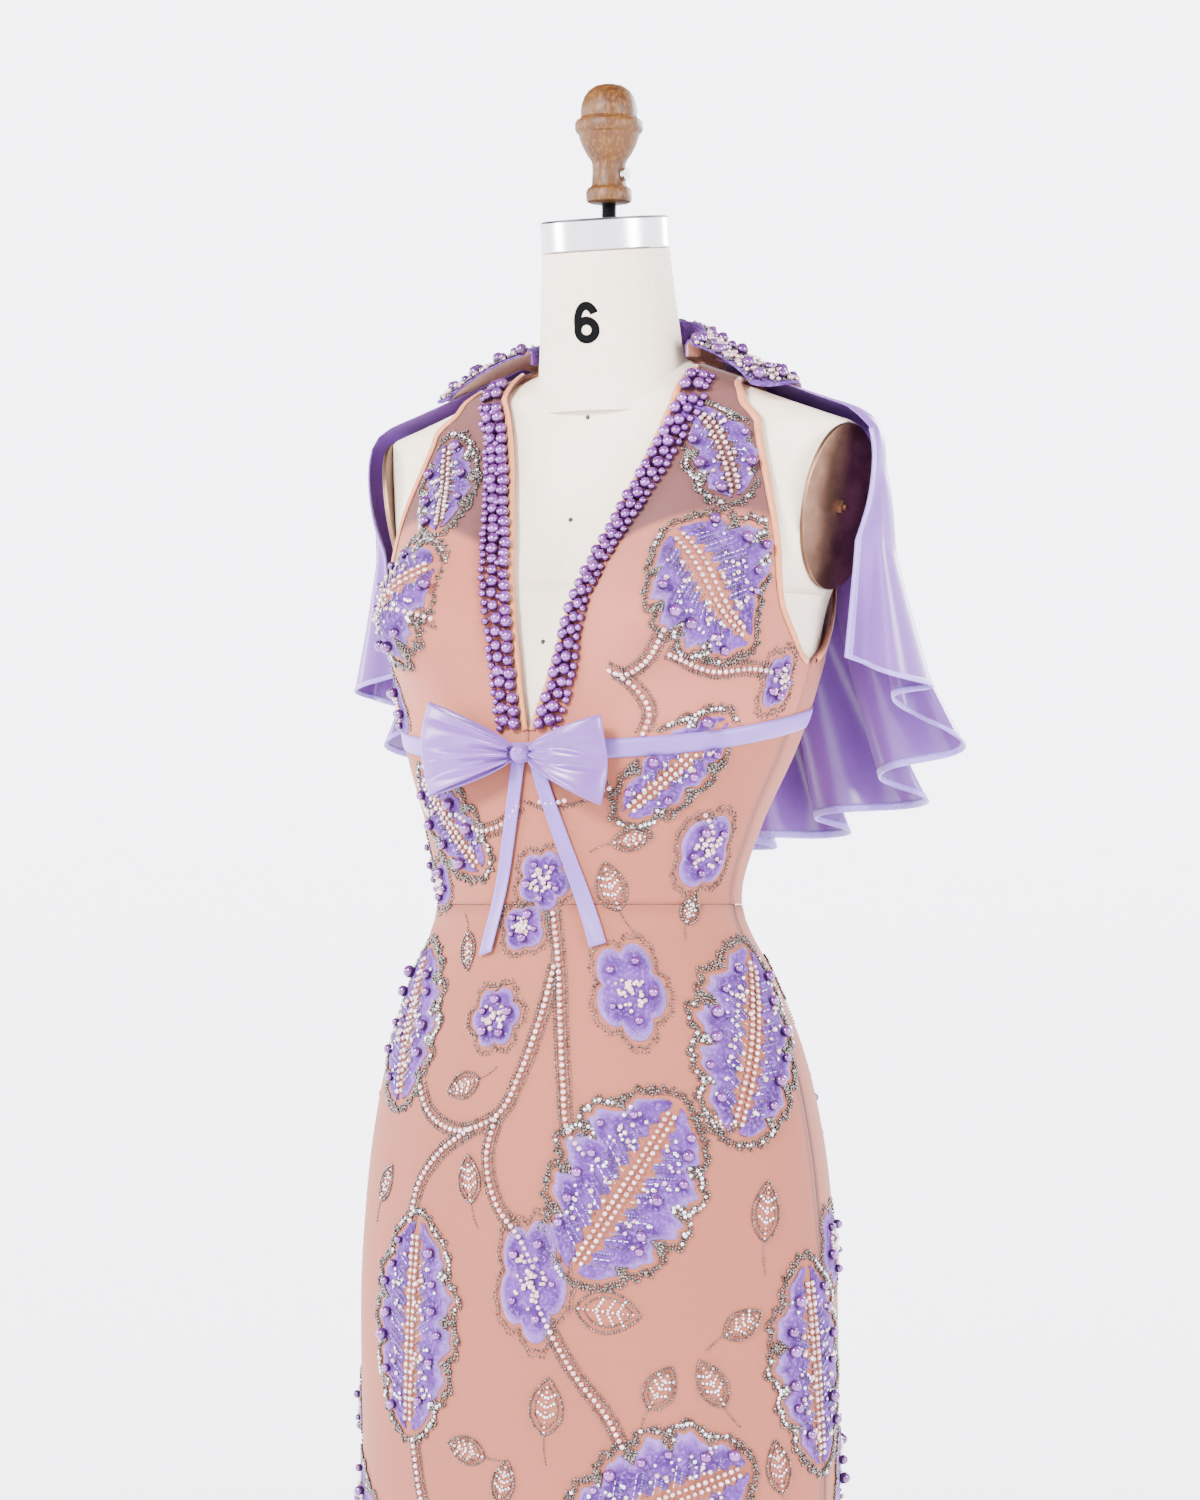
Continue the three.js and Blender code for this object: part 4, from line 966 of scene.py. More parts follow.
def clear_of_ribbon(eta, z):
    """0 under the ribbon, where velvet is pressed flat, and 1 away from it."""
    return ease((np.abs(z - underbust(eta)) - 6.5) / 3)


def seen(eta, z):
    """Whether a motif is in front and above mid-thigh, where it gets its finest borders."""
    return abs(eta) < 95 and z > SHOWN_Z


class Embroidery:
    """Gathers every bead and every velvet shape before they are made."""

    def __init__(self, rng):
        self.rng = rng
        self.seeds, self.white, self.purple, self.sequins, self.bugles, self.blue = (
            Beads() for _ in range(6)
        )
        self.velvet = bmesh.new()
        self.uv = self.velvet.loops.layers.uv.new("UVMap")
        self.tone = self.velvet.verts.layers.float.new("tone")

    def put(self, beads, run, radius, jitter=0.0, raise_by=0.8):
        """Adds beads along a run, where it lies on open cloth."""
        if run is None:
            return
        e, h, base, up, ahead, _ = run
        keep = open_cloth(e, h)
        if not keep.any():
            return
        base, up, ahead = base[keep], up[keep], ahead[keep]
        size = radius * (1 + jitter * (self.rng.random(len(base)) - 0.5))
        beads.add(base + up * (size * raise_by)[:, None], size, up, ahead)

    def row(self, beads, eta, z, pitch, radius, jitter=0.0, lift=WALL):
        """A row of beads a pitch apart."""
        self.put(beads, resample(eta, z, pitch, lift), radius, jitter)

    def velvet_half(self, motif, length, width, lobes, side, gap):
        """One half of a velvet leaf, from the gap along its middle to its lobed edge."""
        eta, z, turn = motif

        def place(u, v):
            s = mix(0.02, 0.98, v)
            half = width / 2 * leaf_half(s, lobes, side)
            fringe = 1 + 0.3 * np.sin(2 * np.pi * s * lobes * 2.3 + side)
            inner = np.minimum(gap * np.sin(np.pi * s) ** 0.5 * fringe, half * 0.8)
            across = side * mix(inner, half, u)
            e, h = spread(eta, z, turn, leaf_spot(s, across, length), across)
            pile = 1.5 * (1 - np.abs(2 * u - 1) ** 5) + 0.35 * np.sin(s * 60 + 3 * u) * u * (1 - u) * 3
            return over(e, h, WALL + 0.35 + np.maximum(pile, 0) * clear_of_ribbon(e, h))

        cells = VELVET_CELLS if seen(eta, z) else HIDDEN_CELLS
        made, faces, flat = grid_into(self.velvet, *cells, place, self.uv)
        for v, (u, _) in zip(made, flat):
            v[self.tone] = 0.6 if u > 0.95 else 0.2 if u > 0.8 or u < 0.05 else 0.0
        if side < 0:
            bmesh.ops.reverse_faces(self.velvet, faces=list(faces))

    def scatter(self, beads, eta, z, radius, jitter, lift):
        """Single beads at given spots."""
        ahead = np.tile((0, 0, 1.0), (len(eta), 1))
        self.put(beads, (eta, z, over(eta, z, lift), outward(eta, z), ahead, z), radius, jitter)

    def leaf(self, eta, z, turn, length, width):
        """A velvet leaf with its beaded border, middle rows, rays, sequins and loose pearls."""
        rng = self.rng
        lobes = 5 if length > 100 else 4
        gap = 3 + width * 0.07
        for side in (1, -1):
            self.velvet_half((eta, z, turn), length, width, lobes, side, gap)
        along, across = leaf_outline(length, width, lobes)
        arc = np.cumsum(np.hypot(np.gradient(along), np.gradient(across)))
        curl = np.sin(arc * 2 * np.pi / 5.3)
        for distance, swing, pitch, radius in BORDER if seen(eta, z) else HIDDEN_BORDER:
            e, h = spread(eta, z, turn, *pushed(along, across, distance + swing * curl))
            self.row(self.seeds, e, h, pitch, radius, 0.5)
        run = resample(*spread(eta, z, turn, *pushed(along, across, 5.6)), 3.0)
        if run is not None:
            chosen = rng.random(len(run[0])) < 0.16 + 0.5 * np.sin(run[5] / 38 + eta)
            self.put(self.sequins, [part[chosen] for part in run], 1.45, 0.4, 1.2)
        s = np.linspace(0.05, 0.93, 40)
        for offset in (-2.5, 2.5):
            e, h = spread(eta, z, turn, (s - 0.5) * length, offset + 0 * s)
            self.row(self.white, e, h, 4.6, 1.95, 0.25)
        rays = 4 * lobes + 2
        for k in range(rays):
            s0 = 0.06 + 0.8 * k / rays
            for side in (1, -1):
                half = width / 2 * leaf_half(s0 + 0.1, lobes, side)
                reach = half * rng.uniform(0.38, 0.66)
                if reach < gap + 2:
                    continue
                w = np.linspace(gap * 0.7, reach, 10)
                e, h = spread(eta, z, turn, leaf_spot(s0 + 0.05 * w / half, w, length) + 0.25 * w, side * w)
                which, pitch, radius = (
                    (self.seeds, 2.1, 0.85), (self.bugles, 4.1, 0.75), (self.blue, 2.0, 0.85)
                )[k % 3]
                self.row(which, e, h, pitch, radius, 0.3, WALL + 1.7)
        count = int(length * width / 330)
        s = rng.random(count) * 0.7 + 0.14
        w = (rng.random(count) * 0.4 + 0.14) * np.sign(rng.random(count) - 0.5) * width / 2
        self.scatter(self.white, *spread(eta, z, turn, leaf_spot(s, w, length), w), 1.7, 0.5, WALL + 1.9)
        w = (rng.random(count) * 0.55 + 0.2) * np.sign(rng.random(count) - 0.5) * width / 2 * 0.8
        self.scatter(self.sequins, *spread(eta, z, turn, leaf_spot(s, w, length), w), 1.5, 0.4, WALL + 2.0)
        count = max(5, int(length / 11))
        s = np.linspace(0.14, 0.88, count) + rng.normal(0, 0.02, count)
        side = np.where(np.arange(count) % 2, 1, -1)
        w = side * (0.76 + rng.normal(0, 0.07, count)) * width / 2 * leaf_half(s, lobes, side)
        self.scatter(self.purple, *spread(eta, z, turn, leaf_spot(s, w, length), w), 3.7, 0.5, WALL + 1.4)

    def flower(self, eta, z, radius, petals, stretch):
        """A small velvet flower with two beaded rings round it and pearls in its middle."""
        rng = self.rng

        def outline(angle, scale):
            r = radius * scale * (0.74 + 0.26 * np.abs(np.sin(petals * angle / 2 + 0.4)) ** 0.7)
            return spread(eta, z, 0, r * np.cos(angle) * stretch, r * np.sin(angle))

        def place(u, v):
            e, h = outline(2 * np.pi * u, np.clip(v, 0.02, 1))
            return over(e, h, WALL + 0.35 + 1.4 * (1 - v**5) * clear_of_ribbon(e, h))

        made, faces, flat = grid_into(self.velvet, 40, 5, place, self.uv)
        for v, (_, r) in zip(made, flat):
            v[self.tone] = 0.55 if r > 0.93 else 0.0
        bmesh.ops.reverse_faces(self.velvet, faces=list(faces))
        turn = np.linspace(0, 2 * np.pi, 90)
        for grow, pitch in ((3.0, 2.3), (5.2, 3.0)):
            e, h = outline(turn, 1 + (grow + 0.9 * np.sin(turn * 20)) / radius)
            self.row(self.seeds, e, h, pitch, 0.95, 0.5)
        n = int(radius * 1.5)
        angle, r = rng.random(n) * 2 * np.pi, rng.random(n) ** 0.7 * 0.5
        self.scatter(self.white, *outline(angle, r), 1.8, 0.5, WALL + 1.6)
        angle = np.arange(5) * 2 * np.pi / 5 + rng.random()
        self.scatter(self.purple, *outline(angle, 0.62), 3.1, 0.5, WALL + 1.4)

    def sprig(self, eta, z, turn, length, width):
        """A small leaf of beads alone: two outlines, a middle row, short veins and a stalk."""
        s = np.linspace(0, 1, 60)
        half = width / 2 * np.sin(np.pi * s**0.85) ** 0.8
        along = np.concatenate([(s - 0.5) * length, (s[::-1] - 0.5) * length])
        across = np.concatenate([half, -half[::-1]])
        e, h = spread(eta, z, turn, along, across)
        self.row(self.seeds, e, h, 2.1, 1.15, 0.3)
        e, h = spread(eta, z, turn, along * 0.76, across * 0.7)
        self.row(self.seeds, e, h, 2.2, 1.0, 0.3)
        e, h = spread(eta, z, turn, (s * 0.9 - 0.5) * length, 0 * s)
        self.row(self.white, e, h, 3.4, 1.1, 0.3)
        for side in (1, -1):
            for k in (0.3, 0.48, 0.64):
                t = np.linspace(0, 1, 6)
                e, h = spread(eta, z, turn, (k - 0.5 + 0.12 * t) * length, side * t * width * 0.32)
                self.row(self.sequins, e, h, 2.6, 1.1, 0.3)
        t = np.linspace(0, 1, 12)
        e, h = spread(eta, z, turn, -length * (0.5 + 0.55 * t), 3.5 * t * t)
        self.row(self.seeds, e, h, 2.1, 0.8)

    def stem(self, points):
        """A vine stem: a row of pearls with two rows of seeds on each side."""
        e, h = smooth_run(points)
        self.row(self.white, e, h, 4.5, 2.05, 0.12)
        across = unit(np.cross(np.gradient(over(e, h, 0), axis=0), outward(e, h)))
        per = np.linalg.norm(figure(e + 1, h) - figure(e - 1, h), axis=-1) / 2
        round_way = unit(figure(e + 1, h) - figure(e - 1, h))
        for side in (-1, 1):
            for offset, pitch, radius in ((3.5, 2.1, 0.95), (5.1, 2.5, 0.85)):
                shift = across * side * offset
                moved = e + (shift * round_way).sum(-1) / per
                self.row(self.seeds, moved, h + shift[:, 2], pitch, radius, 0.4)

    def make_velvet(self, material, *nodes):
        """All the velvet as one mesh, with a thin wall."""
        bmesh.ops.remove_doubles(self.velvet, verts=self.velvet.verts, dist=1e-6)
        obj = bpy.data.objects.new("velvet_shapes", mesh_from(self.velvet, "velvet_shapes", material))
        wall = obj.modifiers.new("wall", "SOLIDIFY")
        wall.thickness, wall.offset = 0.25 * MM, -1
        return finish_piece(obj, "velvet", *nodes)


# Sizes and colours a user would change
class DressSettings(bpy.types.PropertyGroup):
    """Colours of the cloth, the size of the large pearls and the seed."""

    tulle_colour: FloatVectorProperty(
        name="Tulle", description="Colour of the tulle over its lining", subtype="COLOR",
        default=(0.23, 0.068, 0.042)
    )
    veil_colour: FloatVectorProperty(
        name="Bare tulle", description="Colour of the tulle where it has no lining", subtype="COLOR",
        default=(0.085, 0.030, 0.028)
    )
    satin_colour: FloatVectorProperty(
        name="Satin", description="Colour of the cape and bow", subtype="COLOR",
        default=(0.135, 0.050, 0.255)
    )
    pearl_radius: FloatProperty(
        name="Pearl radius", description="Radius of the large pearls along the V", default=0.0044,
        unit="LENGTH"
    )
    seed: IntProperty(name="Seed", description="Sets where loose beads fall", default=SEED)


class StageSettings(bpy.types.PropertyGroup):
    """Where the camera stands and how bright the key light is."""

    distance: FloatProperty(
        name="Camera distance", description="From the pole to the camera", default=3.6, unit="LENGTH"
    )
    azimuth: FloatProperty(
        name="Camera azimuth", description="Degrees from straight in front towards the wearer's left",
        default=28.0
    )
    field: FloatProperty(
        name="Field", description="Height that the frame covers at the pole", default=1.035, unit="LENGTH"
    )
    light: FloatProperty(name="Key light", description="Power of the key light in watts", default=330.0)


def neck_section(share):
    """Middle, half width and half depth of the neck at a share of its height."""
    middle = mix(NECK["low_y"], NECK["high_y"], share)
    half = mix(NECK["low_a"], NECK["high_r"], share**0.8)
    return middle, half, mix(NECK["low_b"], NECK["high_r"], share)


class DRESS_OT_form(bpy.types.Operator):
    """Makes the linen form, its neck and its arm plates."""

    bl_idname = "dress.form"
    bl_label = "Form"

    def execute(self, context):
        paints = finishes(context.scene.dress)

        def body(u, v):
            return over(360 * u, mix(FORM_Z, TOP_Z, v), -SKIN + 0 * u)

        def neck(u, v):
            turn = 2 * np.pi * u
            middle, a, depth = neck_section(v)
            y = middle - depth * np.cos(turn)
            lean = np.clip((v - 0.75) * 4, 0, 1) * math.tan(math.radians(CAP_TILT)) * (y - middle)
            return np.stack([a * np.sin(turn), y, mix(NECK["low"], NECK["high"], v) + lean], -1)

        solids = []
        for place, nu, nv in ((body, 96, 110), (neck, 64, 24)):
            bm = bmesh.new()
            uv = bm.loops.layers.uv.new("UVMap")
            grid_into(bm, nu, nv, place, uv)
            bmesh.ops.remove_doubles(bm, verts=bm.verts, dist=2e-5)
            bmesh.ops.holes_fill(bm, edges=bm.edges, sides=0)
            bmesh.ops.recalc_face_normals(bm, faces=bm.faces)
            solids.append(temporary(bm))
        for side in (1, -1):
            bm = bmesh.new()
            box = Matrix.Translation(Vector((60, 0, 49)) * MM) @ Matrix.Diagonal((0.12, 0.2, 0.22, 1))
            bmesh.ops.create_cube(bm, size=1, matrix=plate_frame(side) @ box)
            solids.append(temporary(bm))
        shell = solids[0]
        for tool, way in ((solids[1], "UNION"), (solids[2], "DIFFERENCE"), (solids[3], "DIFFERENCE")):
            cut = shell.modifiers.new("cut", "BOOLEAN")
            cut.object, cut.operation, cut.solver = tool, way, "EXACT"
        context.view_layer.update()
        mesh = bpy.data.meshes.new_from_object(shell.evaluated_get(context.evaluated_depsgraph_get()))
        for obj in solids:
            bpy.data.objects.remove(obj)
        mesh.name = "form_shell"
        mesh.materials.clear()
        mesh.materials.append(paints["linen"])
        finish_piece(bpy.data.objects.new("form_shell", mesh), "linen", "form_torso")
        mesh.set_sharp_from_angle(angle=math.radians(38))
        seam = mesh.attributes.new("seam", "FLOAT", "POINT")
        points = np.empty(len(mesh.vertices) * 3, np.float32)
        mesh.vertices.foreach_get("co", points)
        x, y, z = points.reshape(-1, 3).T / MM
        on_seam = (np.abs(z - BUST_SEAM["z"]) < BUST_SEAM["half"]) & (np.abs(x) < BUST_SEAM["reach"])
        seam.data.foreach_set("value", np.where(on_seam & (y < 0), BUST_SEAM["shade"], 0).astype(np.float32))
        size_number(paints["print"])
        pins(paints["dark"])
        for word, side in (("left", 1), ("right", -1)):
            arm_cover(word, side, paints["plate"])
        return {"FINISHED"}


def arm_cover(word, side, material):
    """An oval plate over an armhole of the form, with its nut and bolt end."""
    bm = bmesh.new()
    disc = bmesh.ops.create_circle(bm, cap_ends=True, segments=64, radius=1)["verts"]
    bmesh.ops.scale(bm, vec=(PLATE["high"] * MM, PLATE["wide"] * MM, 1), verts=disc)
    bmesh.ops.rotate(bm, cent=(0, 0, 0), matrix=Matrix.Rotation(math.pi / 2, 3, "Y"), verts=disc)
    pushed_out = bmesh.ops.extrude_face_region(bm, geom=list(bm.faces))["geom"]
    moved = [part for part in pushed_out if isinstance(part, bmesh.types.BMVert)]
    bmesh.ops.translate(bm, vec=(PLATE["thick"] * MM, 0, 0), verts=moved)
    rim = [edge for edge in bm.edges if all(v.co.x > 0.001 for v in edge.verts)]
    bmesh.ops.bevel(bm, geom=rim, offset=0.0008, affect="EDGES", segments=3, profile=0.5, material=-1)
    drum(bm, sides=6, near=5, far=4.6, depth=4, x=4.5)
    drum(bm, sides=16, near=2.4, far=2.2, depth=3.4, x=7.2)
    bmesh.ops.translate(bm, vec=(0.4 * MM, 0, 0), verts=bm.verts)
    bmesh.ops.transform(bm, matrix=plate_frame(side), verts=bm.verts)
    bmesh.ops.recalc_face_normals(bm, faces=bm.faces)
    name = f"arm_cover_{word}"
    piece_from(bm, name, "plate_metal", material, f"arm_plate_{word}", sharp=SHARP)


def size_number(ink):
    """The plain numeral 6 printed on the front of the neck."""
    bm = bmesh.new()
    uv = bm.loops.layers.uv.new("UVMap")

    def bowl(v):
        turn = 2 * np.pi * v
        return 6.5 * np.cos(turn), 8.5 + 6.3 * np.sin(turn)

    def stem(v):
        turn = np.radians(mix(205, 32, v))
        return 0.3 + 6.8 * np.cos(turn), 13.6 + 11.3 * np.sin(turn)

    for line, steps in ((bowl, 48), (stem, 30)):
        def stroke(u, v, line=line):
            x, z = line(v)
            ahead = unit((np.array(line(v + 0.01)) - np.array(line(v - 0.01))).T)
            off = (u - 0.5) * NUMERAL["stroke"]
            x, z = x + NUMERAL["x"] - ahead[:, 1] * off, z + NUMERAL["z"] + ahead[:, 0] * off
            middle, a, depth = neck_section((z - NECK["low"]) / (NECK["high"] - NECK["low"]))
            y = middle - depth * np.sqrt(1 - (x / a) ** 2)
            return np.stack([x, y - 0.3, z], -1)

        grid_into(bm, 4, steps, stroke, uv)
    bmesh.ops.recalc_face_normals(bm, faces=bm.faces)
    piece_from(bm, "neck_number", "print", ink, smooth=False)


def pins(material):
    """The heads of the pins down the centre front of the form."""
    bm = bmesh.new()
    for z in PIN_HEIGHTS:
        at = over(np.array([0.0]), np.array([z]), np.array([0.2 - SKIN]))[0] * MM
        bmesh.ops.create_uvsphere(
            bm, u_segments=12, v_segments=8, radius=1.6 * MM, matrix=Matrix.Translation(at)
        )
    piece_from(bm, "pin_heads", "dark_steel", material)


def temporary(bm):
    """An object that lasts only as long as a Boolean modifier needs it."""
    obj = bpy.data.objects.new("temporary", mesh_from(bm, "temporary"))
    bpy.context.scene.collection.objects.link(obj)
    return obj


def plate_frame(side):
    """Where an arm plate stands, with its x axis out of the armhole."""
    turn = Matrix.Rotation(math.radians(-PLATE["yaw"] if side > 0 else 180 + PLATE["yaw"]), 4, "Z")
    place = Matrix.Translation(Vector((side * PLATE["x"], PLATE["y"], PLATE["z"])) * MM)
    return place @ turn @ Matrix.Rotation(math.radians(PLATE["lean"]), 4, "Y")


class DRESS_OT_stand(bpy.types.Operator):
    """Makes the neck cap, the rod and knob, the pole and the foot."""

    bl_idname = "dress.stand"
    bl_label = "Cap, knob and stand"

    def execute(self, context):
        paints = finishes(context.scene.dress)
        turned(
            "cap_ring", CAP_PROFILE, 96, "steel", paints["steel"], "neck_cap",
            middle=(0, NECK["high_y"], NECK["high"] + 0.4), tilt=CAP_TILT
        )
        low, high = (c.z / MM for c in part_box("knob_rod"))
        thread = [(0, low)]
        step = (high - low) / THREAD_TURNS
        for k in range(THREAD_TURNS):
            thread += [(4.5, low + k * step), (5.4, low + (k + 0.5) * step)]
        thread += [(4.5, high), (0, high)]
        turned("threaded_rod", thread, 24, "dark_steel", paints["dark"], "knob_rod")
        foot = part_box("knob")[0].z / MM
        profile = [(radius, height + foot) for radius, height in KNOB_PROFILE]
        turned("turned_knob", profile, 48, "wood", paints["wood"], "knob")
        set_screw(foot, paints["steel"])
        low, high = (c.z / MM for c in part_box("stand_pole"))
        tube = [(0, low), (13.4, low), (14, low + 0.6), (14, high - 0.6), (13.4, high), (0, high)]
        turned("pole_tube", tube, 40, "steel", paints["steel"], "stand_pole")
        cross_foot(paints["dark"])
        return {"FINISHED"}


def set_screw(foot, material):
    """The screw in the side of the knob: its shank, its head and a six-sided mark on the head."""
    bm = bmesh.new()
    for sides, radius, depth, x in ((20, 2.6, 5.2, 13.6), (20, 4.3, 3.0, 16.6), (6, 1.6, 0.4, 18.2)):
        drum(bm, sides, radius, radius, depth, x)
    bmesh.ops.translate(bm, vec=(-3.2 * MM, 0, (foot + 19) * MM), verts=bm.verts)
    bmesh.ops.rotate(bm, cent=(0, 0, 0), matrix=Matrix.Rotation(math.radians(-5), 3, "Z"), verts=bm.verts)
    piece_from(bm, "set_screw", "steel", material, "knob_set_screw", sharp=SHARP)


def cross_foot(material):
    """The foot: two crossed bars and the cone that holds the pole."""
    bm = bmesh.new()
    long, wide, high = 410 * MM, 36 * MM, 11 * MM
    for across, along in ((long, wide), (wide, long)):
        bar = Matrix.Translation((0, 0, high / 2)) @ Matrix.Diagonal((across, along, high, 1))
        bmesh.ops.create_cube(bm, size=1, matrix=bar)
    bmesh.ops.bevel(
        bm, geom=list(bm.edges), offset=1.2 * MM, affect="EDGES", segments=2, profile=0.5, material=-1
    )
    bmesh.ops.create_cone(
        bm, cap_ends=True, segments=48, radius1=46 * MM, radius2=28.75 * MM, depth=26 * MM,
        matrix=Matrix.Translation((0, 0, 13 * MM))
    )
    piece_from(bm, "cross_foot", "dark_steel", material, "stand_foot", sharp=SHARP)


def bodice(materials):
    """The bodice panels, by name and side."""
    def front_tone(u, v):
        """How bare the tulle is: 0 over the lined cup, 1 above its edge."""
        eta, z = cup(u, v)
        edge = 1268 + 46 * np.cos(np.radians(np.clip((np.abs(eta) - 40) * 2.4, -90, 90)))
        return ease((z - edge) / 7 + 0.5)

    def back_tone(u, v):
        return 0 * u + 0.25

    panels = {}
    for word, side in (("left", 1), ("right", -1)):
        for name, place, nu, nv, tone in (
            ("front", cup, 60, 84, front_tone), ("back", back, 26, 56, back_tone)
        ):
            def laid(u, v, place=place, side=side):
                eta, z = place(u, v)
                return over(side * eta, z, WALL + 0 * u)

            panels[name, word] = cloth(
                f"{name}_panel_{word}", nu, nv, laid, "sheer_mesh", materials, f"bodice_{name}_{word}",
                flip=side < 0, tone=tone
            )
    return panels


def midriff(materials):
    """The panel between the ribbon and the waist seam."""
    def place(u, v):
        eta = mix(-90, 90, u) * (1 - side_gap(WAIST_Z) / 90)
        return over(eta, mix(WAIST_Z + SEAM / 2, underbust(eta) - SEAM / 2, v), WALL + 0 * u)

    def tone(u, v):
        """Darker beside the side seams, where the layers lie double."""
        return 0.75 * ease((4 - 160 * np.minimum(u, 1 - u)) / 2)

    piece = cloth("midriff_panel", 96, 20, place, "tulle", materials, "midriff_front", tone=tone)


def skirt(materials):
    """The skirt's front and its two backs, with a slight drape towards the hem."""
    for name, start, end, nu in (
        ("skirt_front", -90, 90, 112), ("skirt_back_left", 90, 180, 56),
        ("skirt_back_right", -180, -90, 56)
    ):
        def hang(u, v, start=start, end=end):
            z = mix(HEM_Z, WAIST_Z - SEAM / 2, v)
            gap = side_gap(z)
            eta = np.clip(mix(start, end, u), start + gap, end - gap)
            drape = 1.6 * ease((700 - z) / 500) * np.sin(np.radians(eta) * 7 + z / 260)
            return over(eta, z, WALL + drape)

        def near_seam(u, v, name=name, start=start, end=end):
            """Darker beside the side seams and the seam at centre back."""
            eta = np.abs(mix(start, end, u))
            off = np.minimum(np.abs(eta - 90), 180 - eta if name != "skirt_front" else 99) * 2.9
            return 0.75 * ease((6.5 - off) / 2)

        piece = cloth(f"{name}_panel", nu, 96, hang, "tulle", materials, name, tone=near_seam)


def bindings(materials):
    """The bindings of the V and the armholes, by the panel that they ride on."""
    strips = {}
    edges = (
        ("v_binding", "front", v_edge, V_START, 1, "neck_binding"),
        ("armhole_binding_front", "front", front_arm, FRONT_SPLIT + 0.01, -1, "arm_binding_front"),
        ("armhole_binding_back", "back", back_arm, BACK_SPLIT + 0.01, 1, "arm_binding_back"),
    )
    for word, side in (("left", 1), ("right", -1)):
        for name, panel, edge, start, turn, node in edges:
            def fold(u, v, edge=edge, start=start, turn=turn, side=side):
                eta, z, across = edge_frame(edge, mix(start, BINDING_END, v), side)
                offset = side * turn * mix(-0.5, 4.2, u)
                roll = 1.5 * np.sin(np.pi * np.clip(u * 0.9 + 0.05, 0, 1))
                return beside(eta, z, across * offset[..., None], WALL + 0.3 + roll)

            strip = cloth(
                f"{name}_{word}", 6, 90, fold, "binding", materials, f"{node}_{word}", thick=0.5, side=0
            )
            strips.setdefault((panel, word), []).append(strip)
    return strips


class DRESS_OT_panels(bpy.types.Operator):
    """Makes the bodice, midriff and skirt panels and their bindings."""

    bl_idname = "dress.panels"
    bl_label = "Panels and bindings"

    def execute(self, context):
        paints = finishes(context.scene.dress)
        panels = bodice([paints["mesh"], paints["lining"]])
        both = [paints["tulle"], paints["lining"]]
        midriff(both)
        skirt(both)
        strips = bindings([paints["binding"]])
        for (name, word), piece in panels.items():
            area_of(piece)
            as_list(strips[name, word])
        return {"FINISHED"}


def area_of(piece):
    """Area of a finished sheet's cloth: the grid before it is given its thickness."""
    return sum(p.area for p in piece.data.polygons)


def edge_frame(edge, t, side):
    """Eta, z and the way across the panel at places along an edge."""
    eta, z = edge(t)
    a, b = edge(np.clip(t - 0.004, 0, 1)), edge(np.clip(t + 0.004, 0, 1))
    run = unit(figure(side * b[0], b[1]) - figure(side * a[0], a[1]))
    return side * eta, z, unit(np.cross(run, outward(side * eta, z)))


def beside(eta, z, way, lift):
    """The point of the figure that lies a short way off eta and z, lifted."""
    around = figure(eta + 0.5, z) - figure(eta - 0.5, z)
    up = figure(eta, z + 0.5) - figure(eta, z - 0.5)
    rr, ru, uu = (around * around).sum(-1), (around * up).sum(-1), (up * up).sum(-1)
    wr, wu = (way * around).sum(-1), (way * up).sum(-1)
    det = rr * uu - ru * ru
    return over(eta + (wr * uu - wu * ru) / det, z + (wu * rr - wr * ru) / det, lift)


class DRESS_OT_collar_cape(bpy.types.Operator):
    """Makes the turned-down collar and the satin cape."""

    bl_idname = "dress.collar_cape"
    bl_label = "Collar and cape"

    def execute(self, context):
        paints = finishes(context.scene.dress)
        piece = cloth(
            "collar_fall", 110, 44, collar_point, "velvet", [paints["velvet"], paints["lining"]], "collar",
            thick=1.4, side=0
        )
        satin, rolled = [paints["satin"]], [paints["hem"]]
        cape = cloth("cape_drape", 230, 54, cape_point, "satin", satin, "cape", thick=0.7, side=0)

        def hem(u, v):
            """A narrow band along the lower edge."""
            return cape_point(u, 0.984 + 0.0165 * v)

        def front_edge(start):
            return lambda u, v: cape_point(start + 0.0045 * u, mix(0.32, 1, v))

        hems = [cloth("cape_hem", 230, 3, hem, "satin", rolled, thick=1.3, side=0)]
        for word, start in (("right", 0.0), ("left", 0.9955)):
            name = f"cape_edge_{word}"
            hems.append(cloth(name, 2, 60, front_edge(start), "satin", rolled, thick=1.3, side=0))
        return {"FINISHED"}


